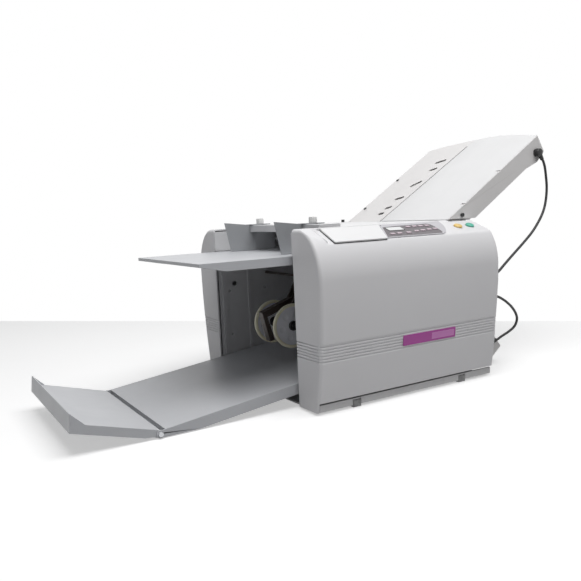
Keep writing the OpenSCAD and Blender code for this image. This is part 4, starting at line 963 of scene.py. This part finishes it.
def slot_edge(low, high, width):
    a = atan2(high[1] - low[1], high[0] - low[0])
    reach = hypot(high[0] - low[0], high[1] - low[1]) / 2
    edge = []
    for end in (1, -1):
        for i in range(7):
            t = radians(-90 + 30 * i) + (0 if end > 0 else pi)
            edge.append((end * (reach - width / 2) + width / 2 * cos(t), width / 2 * sin(t)))
    cu, cv = (low[0] + high[0]) / 2, (low[1] + high[1]) / 2
    return [(cu + u * cos(a) - v * sin(a), cv + u * sin(a) + v * cos(a)) for u, v in edge]


def notch_cutters():
    """Two small notches in the plate's near edge."""
    return [prism("notch", [(s, -180), (s + 6, -180), (s + 6, -162), (s, -162)], -1.2, 12, on_upper)
            for s in (44, 169)]


casing = plate_body("fold_plate_upper", 0)
pierce(casing, [plate_body("inside", 2.5)])
pierce(casing, [box_at("mouth", (NECK_S - 3, -158, -38.5), (NECK_S + 5, 158, -2.5), upper_place)] +
       [prism("slot", slot_edge(low, high, 10), -6, 4, on_upper) for low, high in SLOTS] +
       [prism("joint", slot_edge((-14, 46.6), (314, 35.3), 4.8), -6, 4, on_upper)] + notch_cutters())
plate_warm = painted("plate_paint", (0.79, 0.775, 0.77), 0.4, 0.015)
ride_as(smooth(soften(casing, 0.7, 3, 35), 40), "machine", plate_warm, ["upper_fold_plate"])
studs = [turned("stud", [(0, -1), (4, -1), (4, 1.2), (3.5, 2), (0, 2.3)], on_upper(s, 164, 0),
                (-sin(PLATE_RISE), 0, cos(PLATE_RISE)), 24) for s in (47, 175)]
ride_as(one_piece("plate_studs", studs), "machine", black_plastic)


# Cover of the upper fold plate
# A lighter crowned sheet is clipped over the near part of the plate. It meets the slotted strip along a thin
# joint, follows the bowed end, and carries one soft lengthwise crease.
def crown(y, edge):
    """Height of the cover over the plate at y, with its joint at edge."""
    sides = min(1, (y + 170) / 2.5, (edge - y) / 2.5)
    inner = min(1, max(0, (edge - y) / 60))
    outer = min(1, max(0, (y + 172) / 92))
    crease = 0.5 * max(0, 1 - abs(y + 82) / 10) ** 2
    return (0.8 + 4.4 * min(sin(pi / 2 * inner), outer) - crease) * (0.45 + 0.55 * max(0, sides) ** 0.5)


def joint_line(s):
    """How far across the plate its joint with the slotted strip lies, s along the slope."""
    return 43.5 - 11 * s / PLATE_L


cover_rows, cover_columns = 72, 90
top, bottom = [], []
for i in range(cover_columns + 1):
    for j in range(cover_rows + 1):
        y = -170 + (joint_line(PLATE_L / 2) + 170) * j / cover_rows
        end = PLATE_L + PLATE_BOW - BOW_R + sqrt((BOW_R - 2) ** 2 - y * y)
        s = -18 + (end + 18) * i / cover_columns
        y = min(-170 + (joint_line(s) + 170) * j / cover_rows, PLATE_HALF)
        taper = min(1, (end - s) / 2.5)
        fall = 0.45 + 0.55 * max(0, taper) ** 0.5
        top.append(on_upper(s, y, 0.35 + (crown(y, joint_line(s)) - 0.35) * fall))
        bottom.append(on_upper(s, y, 0.02))
faces, wide = [], cover_rows + 1
for i in range(cover_columns):
    for j in range(cover_rows):
        a = i * wide + j
        faces.append((a, a + 1, a + wide + 1, a + wide))
        faces.append(tuple(len(top) + k for k in (a, a + wide, a + wide + 1, a + 1)))
rim = list(range(wide)) + [i * wide + cover_rows for i in range(1, cover_columns + 1)]
rim += [cover_columns * wide + j for j in range(cover_rows - 1, -1, -1)]
rim += [i * wide for i in range(cover_columns - 1, 0, -1)]
for a, b in zip(rim, rim[1:] + rim[:1]):
    faces.append((a, b, b + len(top), a + len(top)))
plate_cover = piece_of("fold_plate_cover", top + bottom, faces)
pierce(plate_cover, notch_cutters() + [box_at("below", (0, -200, 200), (400, 200, COVER_H + 0.3))])
ride_as(smooth(plate_cover, 30), "machine", painted("plate_cover_paint", (0.79, 0.79, 0.795), 0.36, 0.012),
        ["upper_plate_cover"])

dress("plate_latches", black_plastic, 0.8, 3)
dress("upper_fold_stop", steel("stop_alloy", (0.34, 0.35, 0.37), 0.36, (6, 300, 300)), 0.4)


# Lower fold plate
# A second flat painted casing slopes down out of the rear of the machine, between the side frames. It has
# two rows of slots, and its stop and its cable match the upper one.
def lower_place(u, v, w):
    return on_lower(u, w, v)


low_case = box_at("fold_plate_lower", (52.6, -158.5, -17), (300, 158.5, 17), lower_place)
pierce(low_case, [box_at("inside", (40, -156, -14.5), (297.5, 156, 14.5), lower_place)])
for s in (120, 190):
    pierce(low_case, [prism("vent", slot_edge((s, y - 30), (s + 8, y + 30), 4), 10, 24, on_lower)
                      for y in (-90, 0, 90)])
ride_as(smooth(soften(low_case, 0.7, 3, 35), 40), "machine", plate_warm, ["lower_fold_plate"])
dress("lower_fold_stop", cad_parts["upper_fold_stop"].material_slots[0].material, 0.4)


# Delivery tray and its extension
# Two folded and painted steel trays. The outer one turns up on rivet-headed pins in the round lobes of the
# inner one's sides, and its end wall leans out between two gussets.
dress("delivery_tray", tray_paint, 0.6)
dress("tray_extension", tray_paint, 0.6)
pin_heads = [turned("pin_head", [(0, 0), (4.4, 0), (4.4, 0.5), (4.0, 1.2), (2.8, 1.8), (0, 2.1)],
                    at(-473, side * 159, 7.5), (0, side, 0), 32) for side in (-1, 1)]
ride_as(one_piece("tray_pins", pin_heads), "tray_extension_body", zinc)


# Stacker
# Two moulded wheels on one steel axle rest over the tray. They hang on a dark swinging arm of moulded
# plastic, which also carries the bent deflector strip.
dress("stacker_arm", moulded("arm_plastic", (0.045, 0.034, 0.028), 0.45, 0.03, 0.1), 0.6, 3)
wheel_cream = moulded("wheel_plastic", (0.93, 0.89, 0.68), 0.42, 0.02, 0.04)
web_grey = moulded("wheel_web", (0.86, 0.86, 0.89), 0.5, 0.03, 0.05)
WHEEL = (-144, 130)
tyres, webs, hubs = [], [], []
for y in (-45, 32):
    hub = at(WHEEL[0], y, WHEEL[1])
    tyres.append(turned("tyre", [(39.5, 0), (44.2, 0), (44.8, 0.3), (45, 0.9), (45, 4.1), (44.8, 4.7),
                                 (44.2, 5), (39.5, 5), (39, 4.6), (39, 0.4), (39.5, 0)], hub, (0, 1, 0), 96))
    web = turned("web", [(0, 1.5), (39.3, 1.5), (39.3, 3.5), (0, 3.5)], hub, (0, 1, 0), 96)
    bores = [turned("web_bore", [(0, -2), (6.5, -2), (6.5, 2.3), (0, 2.3)],
                    hub + Vector((25 * cos(a), 0, 25 * sin(a))) / 1000, (0, 1, 0), 32)
             for a in [radians(60 * i + 12) for i in range(6)]]
    webs.append(pierce(web, bores))
    hubs.append(turned("hub", [(0, -3), (9.2, -3), (10, -2.3), (10, 7.3), (9.2, 8), (0, 8)], hub, (0, 1, 0)))
axle = turned("axle", [(0, 0), (3.6, 0), (4, 0.4), (4, 88.6), (3.6, 89), (0, 89)],
              at(WHEEL[0], -49, WHEEL[1]), (0, 1, 0))
ride_as(one_piece("stacker_tyres", tyres), "stacker_wheels_body", wheel_cream, ["stacker_wheels"])
ride_as(smooth(one_piece("stacker_webs", webs), 40), "stacker_wheels_body", web_grey)
ride_as(one_piece("stacker_hubs", hubs + [axle]), "stacker_wheels_body", black_plastic)
